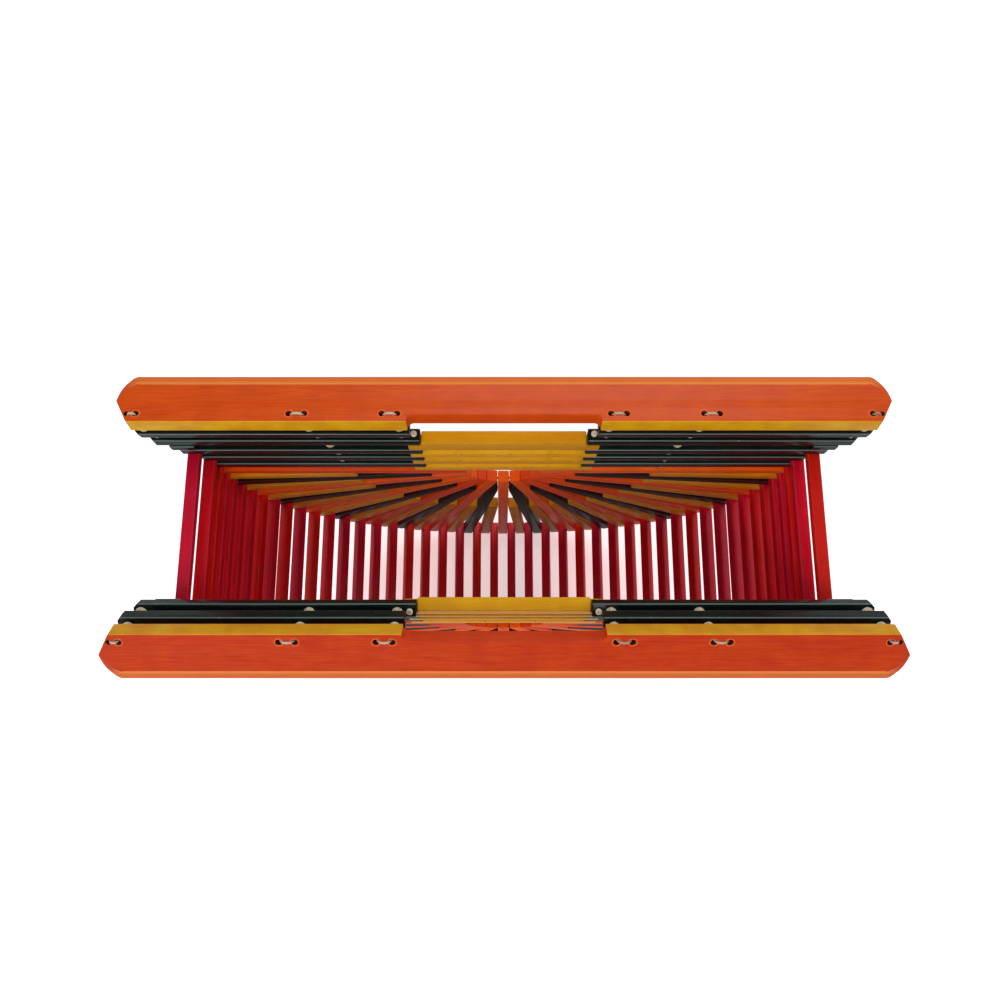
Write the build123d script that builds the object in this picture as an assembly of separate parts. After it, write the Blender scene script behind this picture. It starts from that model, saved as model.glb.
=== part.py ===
from build123d import *
import math
import os

# Half-drum handbag of painted sticks strung on cord.  Millimetres, +Z up, X along the handles,
# front wall towards -Y.  The origin is at the bottom centre of the whole bag as it stands open.

# ---------------------------------------------------------------- driving dimensions
stick_width = 6.5          # ribs and side slats, measured round the fan and up the stack
stick_depth = 7.0          # every wall stick, measured from front to back
inner_depth = 78.5         # clear space between the two walls
rib_step = 4.5             # degrees between neighbouring ribs
rib_steps_each_side = 20   # steps from the bottom rib to the level one, 90 degrees away
end_margin = 3.85          # from the centre of a cord hole to the end of a stick
fit_gap = 0.1              # between sticks that lie against each other

spacer_size = 5.6          # what spaces two courses: cross slats, centre slats and beads
cross_radial = 6.3         # cross slats, measured outwards from the hub

cord_d = 1.8
cord_clearance = 0.3       # round a cord in its hole
bead_gap = 0.3             # from a bead to the slat that it spaces, each side
knot_d = 3.2
hub_cord_stop = 4.0        # how deep the hub cord runs into the top centre slat
hinge_rise = 1.0           # from the sticks below to the lowest hinge line, and from it to the slat

tie_end_margin = 3.0       # from the tie cord to the inner ends of the side slats
top_end_margin = 4.6       # from the inner cord to the inner ends of the top side slats
centre_end_margin = 3.7    # from the tie cord out to the ends of the centre slats
abutting_gap = 0.5         # between the top centre slat and the second side slats beside it
tip_reach = {1: 23.25, 2: 20.25, 3: 11.25}   # from the outer cord radius to a course's outer tips
tip_chamfer = 1.8
corner_spacer_length = 13.0
corner_spacer_reach = 13.25

inner_spread = 5.8         # how far each cord line stands out, at the board, from its line in the fan
mid_spread = 8.5
corner_spread = 17.75
mid_flare = 3.5            # how far each line has spread by the lowest hinge
corner_flare = 12.0
mid_step = 1.5             # and how far it still has to go above the second course
corner_step = 1.2
cord_bend = 6.0            # bend radius where a cord starts to spread
hinge_clear = 0.6          # from the lowest hinge line to the cords on either side of it
cord_recess = 0.5          # how far a cord ends inside a bead or slat beside an upper hinge line
knot_lap = 0.6             # how far a cord runs into its knot
drill_past = 1.0           # how far a straight drilling runs past the faces that it goes through

board_tip_reach = 10.7     # from the corner cord line to the pointed tip of the board
board_inner_reach = 4.0    # from that line to where the end begins on the inner edge
board_outer_reach = 3.0    # from that line to where the end runs into the outer edge
board_width = 28.2
board_tip_width = 12.0     # from the inner edge to the tip
board_thickness = 8.3
board_hole_inset = 4.6     # from the inner edge to the stitch holes
board_bevel_face = 6.8     # bevel of the outer edge, along the face
board_bevel_edge = 3.2     # the same bevel, along the edge
hand_hole_margin = 4.6     # from the inner cord line to the end of the hand hole
hand_hole_depth = 4.0
hand_hole_radius = 3.2
stitch_span = 7.4          # between the two holes of a stitch
corner_stitch_span = 4.4   # the corner stitch, close to the pointed end

# Rest tilt of each folding course from level, outwards: second slats, top slats, handle board.
rest_tilts = {"front": (28.0, 40.0, 43.0), "back": (3.0, -4.0, 13.0)}

# ---------------------------------------------------------------- sizes worked out from them
cord_r = cord_d / 2
hole_r = cord_r + cord_clearance
bead_r = spacer_size / 2


def crowded_end(step_degrees):
    """Radius at which sticks this many degrees apart first have room side by side."""
    turn = math.radians(step_degrees)
    return (stick_width / 2 * (1 + math.cos(turn)) + fit_gap) / math.sin(turn)


half_step = math.radians(rib_step / 2)
cord_radius = {
    "long": crowded_end(4 * rib_step) + end_margin,
    "medium": crowded_end(2 * rib_step) + end_margin,
    "short": crowded_end(rib_step) + end_margin,
    "outer": cross_radial / 2
    + (stick_width / 2 + fit_gap + spacer_size / 2 * math.cos(half_step)) / math.sin(half_step),
}
rib_outer = cord_radius["outer"] + end_margin
hub_z = rib_outer
wall_y = inner_depth / 2 + stick_depth / 2
overall_depth = inner_depth + 2 * stick_depth

# Distances from the middle of the bag.
flap_inner_x = cord_radius["medium"] + inner_spread
flap_mid_x = cord_radius["short"] + mid_spread
flap_corner_x = cord_radius["outer"] + corner_spread
second_inner = cord_radius["medium"] - tie_end_margin
side_inner_x = {1: flap_inner_x - top_end_margin, 2: second_inner, 3: second_inner,
                4: second_inner, 5: second_inner}
side_outer_x = {course: cord_radius["outer"] + tip_reach.get(course, end_margin) for course in side_inner_x}
centre_slat_half = cord_radius["medium"] + centre_end_margin
top_centre_half = second_inner - abutting_gap
corner_spacer_end_x = cord_radius["outer"] + corner_spacer_reach
hand_hole_half = flap_inner_x - hand_hole_margin
board_half = flap_corner_x + board_tip_reach
board_inner_half = flap_corner_x + board_inner_reach
board_outer_half = flap_corner_x + board_outer_reach

# Heights above the hub of the level stack on top of the fan.
course_pitch = stick_width + spacer_size + 2 * fit_gap
course_z = {5: course_pitch, 4: 2 * course_pitch, 3: 3 * course_pitch}
third_top = course_z[3] + stick_width / 2
gap_z = [(index + 0.5) * course_pitch for index in range(3)]

# Hinge lines and folding courses, as heights above the hub with the wall drawn straight up.
upper_centre_bottom = third_top + fit_gap
upper_centre_top = upper_centre_bottom + spacer_size
top_centre_bottom = upper_centre_top + fit_gap
hinge_z = [upper_centre_top + hinge_rise]
second_bottom = hinge_z[0] + hinge_rise
second_top = second_bottom + stick_width
bead_seat = bead_r + bead_gap
hinge_z.append(second_top + bead_seat)
top_bottom = hinge_z[1] + bead_seat
top_top = top_bottom + stick_width
hinge_z.append(top_top + bead_seat)
board_bottom = hinge_z[2] + bead_seat
board_top = board_bottom + board_thickness
course_z[2] = second_bottom + stick_width / 2
course_z[1] = top_bottom + stick_width / 2

# Each upright cord line as (height above the hub, distance from the middle).
cord_lines = {
    "mid": [(0, cord_radius["short"]), (course_z[3] - stick_width / 2, cord_radius["short"]),
            (hinge_z[0], cord_radius["short"] + mid_flare), (hinge_z[1] + bead_r, flap_mid_x - mid_step),
            (hinge_z[2] + bead_r, flap_mid_x), (board_top, flap_mid_x)],
    "corner": [(0, cord_radius["outer"]), (course_z[4] - stick_width / 2, cord_radius["outer"]),
               (hinge_z[0], cord_radius["outer"] + corner_flare),
               (hinge_z[1] + bead_r, flap_corner_x - corner_step),
               (hinge_z[2] + bead_r, flap_corner_x), (board_top, flap_corner_x)],
    "inner": [(0, flap_inner_x), (board_top, flap_inner_x)],
    "tie": [(0, cord_radius["medium"]), (board_top, cord_radius["medium"])],
}


def line_x(line, height):
    """Distance from the middle at which a cord line passes a height."""
    points = cord_lines[line]
    for (low, low_x), (high, high_x) in zip(points, points[1:]):
        if height <= high:
            return low_x + (high_x - low_x) * (height - low) / (high - low)
    return points[-1][1]


# ---------------------------------------------------------------- small makers
def rod(start, end, radius):
    """Round rod from one point to another."""
    start = Vector(start)
    run = Vector(end) - start
    return Solid.make_cylinder(radius, run.length, Plane(origin=start, z_dir=run))


def cord_run(line, low, high, side, radius):
    """Straight piece of a cord line, or the hole for it, between two heights."""
    return rod((side * line_x(line, low), 0, low), (side * line_x(line, high), 0, high), radius)


def cord_hole(line, low, high, side):
    """Hole along a cord line, run a little past both heights so that it breaks out cleanly."""
    start = Vector(side * line_x(line, low), 0, low)
    end = Vector(side * line_x(line, high), 0, high)
    past = (end - start).normalized() * hole_r
    return rod(start - past, end + past, hole_r)


def mirrored_pair(maker):
    """One solid for each side of the bag, right side first."""
    return [maker(side) for side in (1, -1)]


def placed(solids, location):
    """The same solids, moved."""
    return [location * solid for solid in solids]


def fan_stick(inner, cord_radii):
    """Rib pointing straight down from the hub, with its cord holes drilled across."""
    length = rib_outer - inner
    stick = Pos(0, 0, -(inner + rib_outer) / 2) * Box(stick_width, stick_depth, length)
    for radius in cord_radii:
        stick -= Pos(0, 0, -radius) * Rot(0, 90, 0) * Cylinder(hole_r, stick_width * 2)
    return stick


def fan(inner, cord_radii, steps):
    """Ribs of one length, turned about the hub."""
    stick = fan_stick(inner, cord_radii)
    return [Rot(0, step * rib_step, 0) * stick for step in steps]


def side_slat(course, side, lines):
    """One slat of the stack beside the hand hole, with pointed outer tip and cord holes."""
    inner, outer = side_inner_x[course], side_outer_x[course]
    middle = course_z[course]
    slat = Pos((inner + outer) / 2, 0, middle) * Box(outer - inner, stick_depth, stick_width)
    tips = slat.edges().filter_by(Axis.Z).group_by(Axis.X)[-1]
    slat = chamfer(tips, tip_chamfer)
    if side < 0:
        slat = slat.mirror(Plane.YZ)
    reach = stick_width / 2
    for line in lines:
        slat -= cord_hole(line, middle - reach, middle + reach, side)
    return slat


def bead(line, height, side):
    """Round bead on a cord line, bored for the cord."""
    ball = Pos(side * line_x(line, height), 0, height) * Rot(90, 0, 0) * Sphere(bead_r)
    return ball - cord_hole(line, height - bead_r, height + bead_r, side)


def knot(x, height):
    """Knot at the end of a cord."""
    return Pos(x, 0, height) * Sphere(knot_d / 2)


def rim_slat():
    """Slat that runs from wall to wall at the bottom of the rim, with a cord hole near each end."""
    slat = Box(spacer_size, overall_depth, cross_radial)
    for y in (-wall_y, wall_y):
        slat -= Pos(0, y, 0) * Rot(0, 90, 0) * Cylinder(hole_r, spacer_size * 2)
    return Pos(0, 0, -cord_radius["outer"]) * slat


def end_slat(height, side):
    """Slat that runs from wall to wall between two side slats, bored along the corner cords."""
    slat = Pos(side * line_x("corner", height), 0, height) * Box(cross_radial, overall_depth, spacer_size)
    reach = spacer_size / 2
    for y in (-wall_y, wall_y):
        slat -= Pos(0, y, 0) * cord_hole("corner", height - reach, height + reach, side)
    return slat


def arc_cord(radius, left_leg, right_leg):
    """Cord round the fan at one radius, running on up both sides through the listed points."""
    arc = CenterArc((0, 0), radius, 180, 180)
    edges = list(left_leg.edges()) + [arc.edge()] + list(right_leg.edges())
    path = Plane.XZ * Wire(edges)
    start = path.position_at(0)
    section = Plane(origin=start, z_dir=path.tangent_at(0)) * Circle(cord_r)
    return sweep(section, path=path)


def straight_legs(radius, top):
    """Upright ends for a cord that leaves the fan straight up."""
    return Line((-radius, top), (-radius, 0)), Line((radius, 0), (radius, top))


def flared_legs(line, heights):
    """Upright ends for a cord that spreads outwards as it climbs."""
    points = [(line_x(line, height), height) for height in heights]
    right = FilletPolyline(*points, radius=cord_bend)
    left = FilletPolyline(*[(-x, z) for x, z in reversed(points)], radius=cord_bend)
    return left, right


# ---------------------------------------------------------------- one wall, drawn straight up
# In the wall's own frame y = 0 is its middle plane and -Y is outwards.
long_steps = range(-rib_steps_each_side, rib_steps_each_side + 1, 4)
medium_steps = range(-rib_steps_each_side + 2, rib_steps_each_side, 4)
short_steps = range(-rib_steps_each_side + 1, rib_steps_each_side, 2)


def centre_slat(half_length, bottom, radii, hole_top):
    """Slat across the middle of the stack, with upright cord holes that end at hole_top."""
    top = bottom + spacer_size
    slat = Pos(0, 0, (bottom + top) / 2) * Box(2 * half_length, stick_depth, spacer_size)
    for radius in radii:
        for side in (1, -1):
            x = side * radius
            slat -= rod((x, 0, bottom - drill_past), (x, 0, hole_top), hole_r)
    return slat


def fan_nodes():
    """Ribs and the cords that thread them."""
    radii = cord_radius
    every = [radii["outer"]]
    nodes = {
        "long_ribs": fan(radii["long"] - end_margin,
                         every + [radii["long"], radii["medium"], radii["short"]], long_steps),
        "medium_ribs": fan(radii["medium"] - end_margin,
                           every + [radii["medium"], radii["short"]], medium_steps),
        "short_ribs": fan(radii["short"] - end_margin, every + [radii["short"]], short_steps),
    }
    stub_top = hinge_z[0] - hinge_clear
    hub_top = top_centre_bottom + hub_cord_stop - cord_recess
    nodes["hub_cord"] = [arc_cord(radii["long"], *straight_legs(radii["long"], hub_top))]
    nodes["medium_rib_cord"] = [arc_cord(radii["medium"], *straight_legs(radii["medium"], stub_top))]
    flared = {"short_rib_cord": ("short", "mid", 3), "outer_cord": ("outer", "corner", 4)}
    for name, (size, line, course) in flared.items():
        bends = [0, course_z[course] - stick_width / 2, stub_top]
        nodes[name] = [arc_cord(radii[size], *flared_legs(line, bends))]
    return nodes


def stack_nodes():
    """Level courses that stay with the fan, their centre slats, beads and corner spacers."""
    nodes = {}
    names = {3: "third_side_slats", 4: "fourth_side_slats", 5: "fifth_side_slats"}
    for course, name in names.items():
        lines = ["tie", "mid", "corner"]
        nodes[name] = mirrored_pair(lambda side: side_slat(course, side, lines))
    both = [cord_radius["long"], cord_radius["medium"]]
    lower = dict(zip(("fifth_centre_slat", "fourth_centre_slat", "third_centre_slat"), gap_z))
    for name, middle in lower.items():
        bottom = middle - spacer_size / 2
        nodes[name] = [centre_slat(centre_slat_half, bottom, both, bottom + spacer_size + drill_past)]
    nodes["second_centre_slat"] = [
        centre_slat(centre_slat_half, upper_centre_bottom, both, upper_centre_top + drill_past)]
    nodes["top_centre_slat"] = [centre_slat(top_centre_half, top_centre_bottom, [cord_radius["long"]],
                                            top_centre_bottom + hub_cord_stop)]
    lower_bead_z = gap_z + [third_top + bead_gap / 2 + bead_r]
    nodes["lower_beads"] = [bead("mid", height, side) for height in lower_bead_z for side in (1, -1)]
    nodes["corner_spacers"] = mirrored_pair(corner_spacer)
    return nodes


def corner_spacer(side):
    """Short stick in the corner between the third and second courses."""
    bottom = third_top + fit_gap
    middle = corner_spacer_end_x - corner_spacer_length / 2
    block = Pos(side * middle, 0, bottom + spacer_size / 2) * Box(
        corner_spacer_length, stick_depth, spacer_size)
    return block - cord_hole("corner", bottom, bottom + spacer_size, side)


def second_course_nodes():
    """Second side slats, which carry the beads above them."""
    lines = ["tie", "inner", "mid", "corner"]
    spaced = ["inner", "mid", "corner"]
    second_cord_top = hinge_z[1] + bead_r - cord_recess
    cords = []
    for side in (1, -1):
        for line in ("mid", "corner"):
            cords.append(cord_run(line, hinge_z[0] + hinge_clear, second_cord_top, side, cord_r))
        tie_x = side * line_x("tie", second_top)
        tie = rod((tie_x, 0, hinge_z[0] + hinge_clear), (tie_x, 0, second_top + knot_lap), cord_r)
        cords.append(tie + knot(tie_x, second_top + knot_d / 2))
        inner_x = side * flap_inner_x
        inner = rod((inner_x, 0, second_bottom - knot_lap), (inner_x, 0, second_cord_top), cord_r)
        cords.append(inner + knot(inner_x, second_bottom - knot_d / 2))
    return {
        "second_side_slats": mirrored_pair(lambda side: side_slat(2, side, lines)),
        "second_beads": [bead(line, hinge_z[1], side) for line in spaced for side in (1, -1)],
        "second_cords": cords,
    }


def top_course_nodes():
    """Top side slats, which carry the beads under the handle board."""
    lines = ["inner", "mid", "corner"]
    return {
        "top_side_slats": mirrored_pair(lambda side: side_slat(1, side, lines)),
        "top_beads": [bead(line, hinge_z[2], side) for line in lines for side in (1, -1)],
        "top_cords": [cord_run(line, top_bottom + cord_recess, hinge_z[2] + bead_r - cord_recess,
                               side, cord_r) for line in lines for side in (1, -1)],
    }


def stitches():
    """Inner hole and outer hole of each of the six stitches, as distances from the middle."""
    pairs = []
    for side in (1, -1):
        pairs.append((side * flap_inner_x, side * (flap_inner_x + stitch_span)))
        pairs.append((side * flap_mid_x, side * (flap_mid_x + stitch_span)))
        pairs.append((side * flap_corner_x, side * (flap_corner_x + corner_stitch_span)))
    return pairs


def board_outline():
    """Flat outline of the handle board: hand hole in the inner edge, pointed and rounded ends."""
    inner = board_hole_inset
    tip = inner - board_tip_width
    outer = inner - board_width
    recess = inner - hand_hole_depth
    right = [
        Line((0, recess), (hand_hole_half - hand_hole_radius, recess)),
        RadiusArc((hand_hole_half - hand_hole_radius, recess),
                  (hand_hole_half, recess + hand_hole_radius), -hand_hole_radius),
        Line((hand_hole_half, recess + hand_hole_radius), (hand_hole_half, inner)),
        Line((hand_hole_half, inner), (board_inner_half, inner)),
        Line((board_inner_half, inner), (board_half, tip)),
        EllipticalCenterArc((board_outer_half, tip), board_half - board_outer_half, tip - outer,
                            start_angle=0, arc_size=-90),
        Line((board_outer_half, outer), (0, outer)),
    ]
    left = [edge.mirror(Plane.YZ) for edge in right]
    return make_face(Wire([*right, *left]))


def board_section():
    """Bevelled cross-section of the handle board, as a bar that runs past both its ends."""
    inner, outer = board_hole_inset, board_hole_inset - board_width
    face = outer + board_bevel_face
    outline = Polyline((inner, board_bottom), (face, board_bottom),
                       (outer, board_bottom + board_bevel_edge), (outer, board_top - board_bevel_edge),
                       (face, board_top), (inner, board_top), close=True)
    return extrude(Plane.YZ * make_face(outline), board_half + drill_past, both=True)


def handle_board():
    """Handle board lying level, with its outer edge bevelled above and below."""
    board = extrude(Pos(0, 0, board_bottom) * board_outline(), board_thickness, dir=(0, 0, 1))
    board = board & board_section()
    for pair in stitches():
        for x in pair:
            board -= rod((x, 0, board_bottom - drill_past), (x, 0, board_top + drill_past), hole_r)
    return board


def stitch(inner_x, outer_x):
    """Cord up one hole, across the face and down the other, with its knot underneath."""
    across = board_top + cord_r
    ends = (inner_x, outer_x)
    cord = rod((inner_x, 0, across), (outer_x, 0, across), cord_r)
    for x, foot in zip(ends, (board_bottom + cord_recess, board_bottom - knot_lap)):
        cord += rod((x, 0, foot), (x, 0, across), cord_r)
        cord += Pos(x, 0, across) * Sphere(cord_r)
    return cord + knot(outer_x, board_bottom - knot_d / 2)


def board_nodes():
    """Handle board and its stitches."""
    return {
        "handle_board": [handle_board()],
        "board_stitches": [stitch(inner_x, outer_x) for inner_x, outer_x in stitches()],
    }


# ---------------------------------------------------------------- folding and placing the walls
def fold_places(tilts):
    """Where each folding course goes when its hinge lines are turned outwards."""
    place, turned, places = Location(), 0.0, []
    for height, tilt in zip(hinge_z, tilts):
        place = place * Pos(0, 0, height) * Rot(tilt - turned, 0, 0) * Pos(0, 0, -height)
        turned = tilt
        places.append(place)
    return places


def wall_place(wall, shift):
    """From a wall's own frame to the bag's frame."""
    if wall == "front":
        return Pos(0, -wall_y + shift, hub_z)
    return Pos(0, wall_y + shift, hub_z) * Rot(0, 0, 180)


def reach(wall):
    """How far a wall's handle board stands out from the middle of the bag."""
    place = fold_places(rest_tilts[wall])[2]
    outer = board_hole_inset - board_width
    corners = [(place * Pos(0, outer + board_bevel_face * inset, z)).position
               for inset, z in ((0, board_bottom + board_bevel_edge), (0, board_top - board_bevel_edge),
                                (1, board_bottom), (1, board_top))]
    return wall_y - min(corner.Y for corner in corners)


bag_shift = (reach("front") - reach("back")) / 2


def build():
    """Every node of the bag as a list of solids, in the bag's frame."""
    nodes = {}
    fixed = {**fan_nodes(), **stack_nodes()}
    folding = [second_course_nodes(), top_course_nodes(), board_nodes()]
    for wall, tilts in rest_tilts.items():
        home = wall_place(wall, bag_shift)
        for name, solids in fixed.items():
            nodes[f"{wall}_{name}"] = placed(solids, home)
        for course, place in zip(folding, fold_places(tilts)):
            for name, solids in course.items():
                nodes[f"{wall}_{name}"] = placed(solids, home * place)

    middle = Pos(0, bag_shift, hub_z)
    arc_steps = [step + 0.5 for step in range(-rib_steps_each_side, rib_steps_each_side)]
    arc = [Rot(0, step * rib_step, 0) * rim_slat() for step in arc_steps]
    upper = [end_slat(height, side) for height in gap_z for side in (1, -1)]
    nodes["curved_wall_slats"] = placed(arc, middle)
    nodes["upper_end_slats"] = placed(upper, middle)
    return nodes


def report_places():
    """Print the places that the bag's joints, mounts and openings are given at."""
    print(f"hub z {hub_z:.3f}  wall y {wall_y:.3f}  shift {bag_shift:.3f}  outer cord {cord_radius}")
    for wall, tilts in rest_tilts.items():
        home = wall_place(wall, bag_shift)
        before = [Location()] + fold_places(tilts)[:-1]
        for height, place in zip(hinge_z, before):
            point = (home * place * Pos(0, 0, height)).position
            print(f"{wall} hinge {point.X:.3f} {point.Y:.3f} {point.Z:.3f}")


if __name__ == "__main__":
    os.makedirs("parts", exist_ok=True)
    for name, solids in build().items():
        export_step(Compound([solid.solid() for solid in solids]), f"parts/{name}.step")
    report_places()
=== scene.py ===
"""Looks of a half-drum handbag: painted sticks strung on cord, with two folding flaps and handle boards."""
import logging
import math
import random
from dataclasses import dataclass, field
from enum import Enum
from typing import Iterable, NamedTuple, Sequence

import bmesh
import bpy
from mathutils import Matrix, Vector
from mathutils.geometry import tessellate_polygon


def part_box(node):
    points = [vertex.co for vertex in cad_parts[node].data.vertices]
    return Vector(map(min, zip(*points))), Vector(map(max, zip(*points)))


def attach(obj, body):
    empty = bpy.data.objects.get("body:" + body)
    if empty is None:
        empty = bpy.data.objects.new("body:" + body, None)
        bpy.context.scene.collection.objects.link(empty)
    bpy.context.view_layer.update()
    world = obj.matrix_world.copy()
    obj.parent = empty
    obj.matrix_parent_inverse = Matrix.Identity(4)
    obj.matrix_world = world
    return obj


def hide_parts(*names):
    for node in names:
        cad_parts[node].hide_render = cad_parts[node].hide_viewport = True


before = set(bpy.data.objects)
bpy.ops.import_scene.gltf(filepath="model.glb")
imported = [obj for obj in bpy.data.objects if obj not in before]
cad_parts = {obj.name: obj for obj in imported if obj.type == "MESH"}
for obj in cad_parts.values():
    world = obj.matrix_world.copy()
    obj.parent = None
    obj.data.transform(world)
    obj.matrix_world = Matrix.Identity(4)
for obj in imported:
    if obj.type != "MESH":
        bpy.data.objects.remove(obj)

log = logging.getLogger("handbag")
Colour = tuple[float, float, float, float]


def paint_colour(red: int, green: int, blue: int) -> Colour:
    """Turn a mixed paint, 0 to 255 in each channel, into the renderer's linear colour.

    Args:
        red: Red, 0 to 255.
        green: Green, 0 to 255.
        blue: Blue, 0 to 255.

    Returns:
        Linear red, green, blue and an alpha of one.
    """
    linear = []
    for channel in (red, green, blue):
        part = channel / 255
        linear.append(part / 12.92 if part <= 0.04045 else ((part + 0.055) / 1.055) ** 2.4)
    return (linear[0], linear[1], linear[2], 1.0)


def scaled_colour(colour: Colour, factor: float) -> Colour:
    """Return the colour, darker or lighter, kept within range."""
    return tuple(min(1.0, part * factor) for part in colour[:3]) + (1.0,)


# ------------------------------------------------------------------------------------ sizes
@dataclass(frozen=True)
class BagSizes:
    """Driving sizes of the bag in metres, as its maker set them, and what follows from them."""

    stick_width: float = 0.0065         # square sticks, along the wall
    stick_depth: float = 0.0070         # square sticks, front to back
    spacer: float = 0.0056              # beads, centre slats and corner spacers
    cross_radial: float = 0.0063        # cross slats, towards the hub
    cord: float = 0.0018
    hole: float = 0.0024
    knot: float = 0.0032
    fit_gap: float = 0.0001             # between sticks that lie against each other
    bead_gap: float = 0.0003            # from a bead to the slats that it spaces
    hinge_rise: float = 0.0010          # from the lowest hinge line to the slats above and below it
    end_margin: float = 0.00385         # from a cord to the end of its rib
    rib_step: float = math.radians(4.5)
    steps_each_side: int = 20           # rib steps from straight down to level
    inner_spread: float = 0.0058        # how far each cord line of a flap stands outside the line below it
    mid_spread: float = 0.0085
    corner_spread: float = 0.01775
    mid_flare: float = 0.0035           # how much of that is reached at the lowest hinge line
    corner_flare: float = 0.0120
    mid_step: float = 0.0015            # how much of it is left above the second bead row
    corner_step: float = 0.0012
    board_thickness: float = 0.0083
    front_tilts: tuple[float, float, float] = (28.0, 40.0, 43.0)  # degrees, of each folding course at rest
    back_tilts: tuple[float, float, float] = (3.0, -4.0, 13.0)

    def crowded_end(self, steps: int) -> float:
        """Return the radius at which ribs this many steps apart first fit side by side."""
        turn = steps * self.rib_step
        return (self.stick_width / 2 * (1 + math.cos(turn)) + self.fit_gap) / math.sin(turn)

    @property
    def hub_radius(self) -> float:
        """Radius of the cord through the long ribs near the hub."""
        return self.crowded_end(4) + self.end_margin

    @property
    def medium_radius(self) -> float:
        """Radius of the cord where the medium ribs begin."""
        return self.crowded_end(2) + self.end_margin

    @property
    def short_radius(self) -> float:
        """Radius of the cord where the short ribs begin."""
        return self.crowded_end(1) + self.end_margin

    @property
    def outer_radius(self) -> float:
        """Radius of the cord through the outer ends of the ribs and the cross slats."""
        half = self.rib_step / 2
        beside = self.stick_width / 2 + self.fit_gap + self.spacer / 2 * math.cos(half)
        return self.cross_radial / 2 + beside / math.sin(half)

    @property
    def rib_outer(self) -> float:
        """Radius of the outer ends of the ribs, which is also the height of the hub."""
        return self.outer_radius + self.end_margin

    @property
    def pitch(self) -> float:
        """Height from one course of the stack to the next."""
        return self.stick_width + self.spacer + 2 * self.fit_gap

    @property
    def third_top(self) -> float:
        """Top of the highest course that stays with the fan."""
        return 3 * self.pitch + self.stick_width / 2

    @property
    def upper_centre(self) -> float:
        """Middle height of the centre slat that lies on the third course."""
        return self.third_top + self.fit_gap + self.spacer / 2

    @property
    def top_centre(self) -> float:
        """Middle height of the topmost centre slat, under the hand hole."""
        return self.upper_centre + self.spacer + self.fit_gap

    @property
    def hinges(self) -> tuple[float, float, float]:
        """Heights of the three hinge lines of a wall drawn straight up."""
        first = self.upper_centre + self.spacer / 2 + self.hinge_rise
        seat = self.spacer / 2 + self.bead_gap
        second = first + self.hinge_rise + self.stick_width + seat
        return (first, second, second + 2 * seat + self.stick_width)

    @property
    def course_heights(self) -> dict[str, float]:
        """Middle height of each course of side slats."""
        seat = self.spacer / 2 + self.bead_gap
        first, second, _ = self.hinges
        return {"fifth": self.pitch, "fourth": 2 * self.pitch, "third": 3 * self.pitch,
                "second": first + self.hinge_rise + self.stick_width / 2,
                "top": second + seat + self.stick_width / 2}

    @property
    def board_bottom(self) -> float:
        """Height of the underside of the handle board."""
        return self.hinges[2] + self.spacer / 2 + self.bead_gap

    def cord_line(self, line: "CordLine") -> list[tuple[float, float]]:
        """Return one upright cord line as (distance from the middle, height) points."""
        first, second, third = self.hinges
        bead = self.spacer / 2
        top = self.board_bottom + self.board_thickness
        if line is CordLine.TIE:
            return [(self.medium_radius, 0.0), (self.medium_radius, top)]
        if line is CordLine.INNER:
            inner = self.medium_radius + self.inner_spread
            return [(inner, 0.0), (inner, top)]
        if line is CordLine.MID:
            start, flare, spread, step = self.short_radius, self.mid_flare, self.mid_spread, self.mid_step
            low = 3 * self.pitch - self.stick_width / 2
        else:
            start, flare = self.outer_radius, self.corner_flare
            low = 2 * self.pitch - self.stick_width / 2
            spread, step = self.corner_spread, self.corner_step
        return [(start, 0.0), (start, low), (start + flare, first), (start + spread - step, second + bead),
                (start + spread, third + bead), (start + spread, top)]

    def line_x(self, line: "CordLine", height: float) -> float:
        """Return the distance from the middle at which a cord line passes a height."""
        points = self.cord_line(line)
        for (low_x, low), (high_x, high) in zip(points, points[1:]):
            if height <= high:
                return low_x + (high_x - low_x) * (height - low) / (high - low)
        return points[-1][0]


class CordLine(Enum):
    """The upright lines that the cords of a flap follow, from the middle out."""

    TIE = "tie"
    INNER = "inner"
    MID = "mid"
    CORNER = "corner"


class Course(Enum):
    """The parts of a wall, by the body that each rides on."""

    FIXED = "root"
    SECOND = "second_course"
    TOP = "top_course"
    BOARD = "handle"


@dataclass(frozen=True)
class Wall:
    """One wall of the bag: which one it is, and how far its folding courses lean outwards at rest."""

    name: str
    turn: float
    tilts: tuple[float, float, float]
    sizes: BagSizes

    @property
    def middle(self) -> float:
        """Distance of the wall's middle plane from the origin, front to back."""
        low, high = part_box(f"{self.name}_long_ribs")
        return (low.y + high.y) / 2

    def place(self, course: Course) -> Matrix:
        """Return the matrix from the upright wall's own frame to a course where it is at rest."""
        home = Matrix.Translation((0, self.middle, self.sizes.rib_outer)) @ Matrix.Rotation(self.turn, 4, "Z")
        if course is Course.FIXED:
            return home
        turned = 0.0
        folding = [Course.SECOND, Course.TOP, Course.BOARD]
        for step, height, tilt in zip(folding, self.sizes.hinges, self.tilts):
            lift = Matrix.Translation((0, 0, height))
            home = home @ lift @ Matrix.Rotation(math.radians(tilt - turned), 4, "X") @ lift.inverted()
            turned = tilt
            if step is course:
                break
        return home

    def body(self, course: Course) -> str:
        """Return the name of the body that a course rides on."""
        return course.value if course is Course.FIXED else f"{self.name}_{course.value}"


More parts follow.
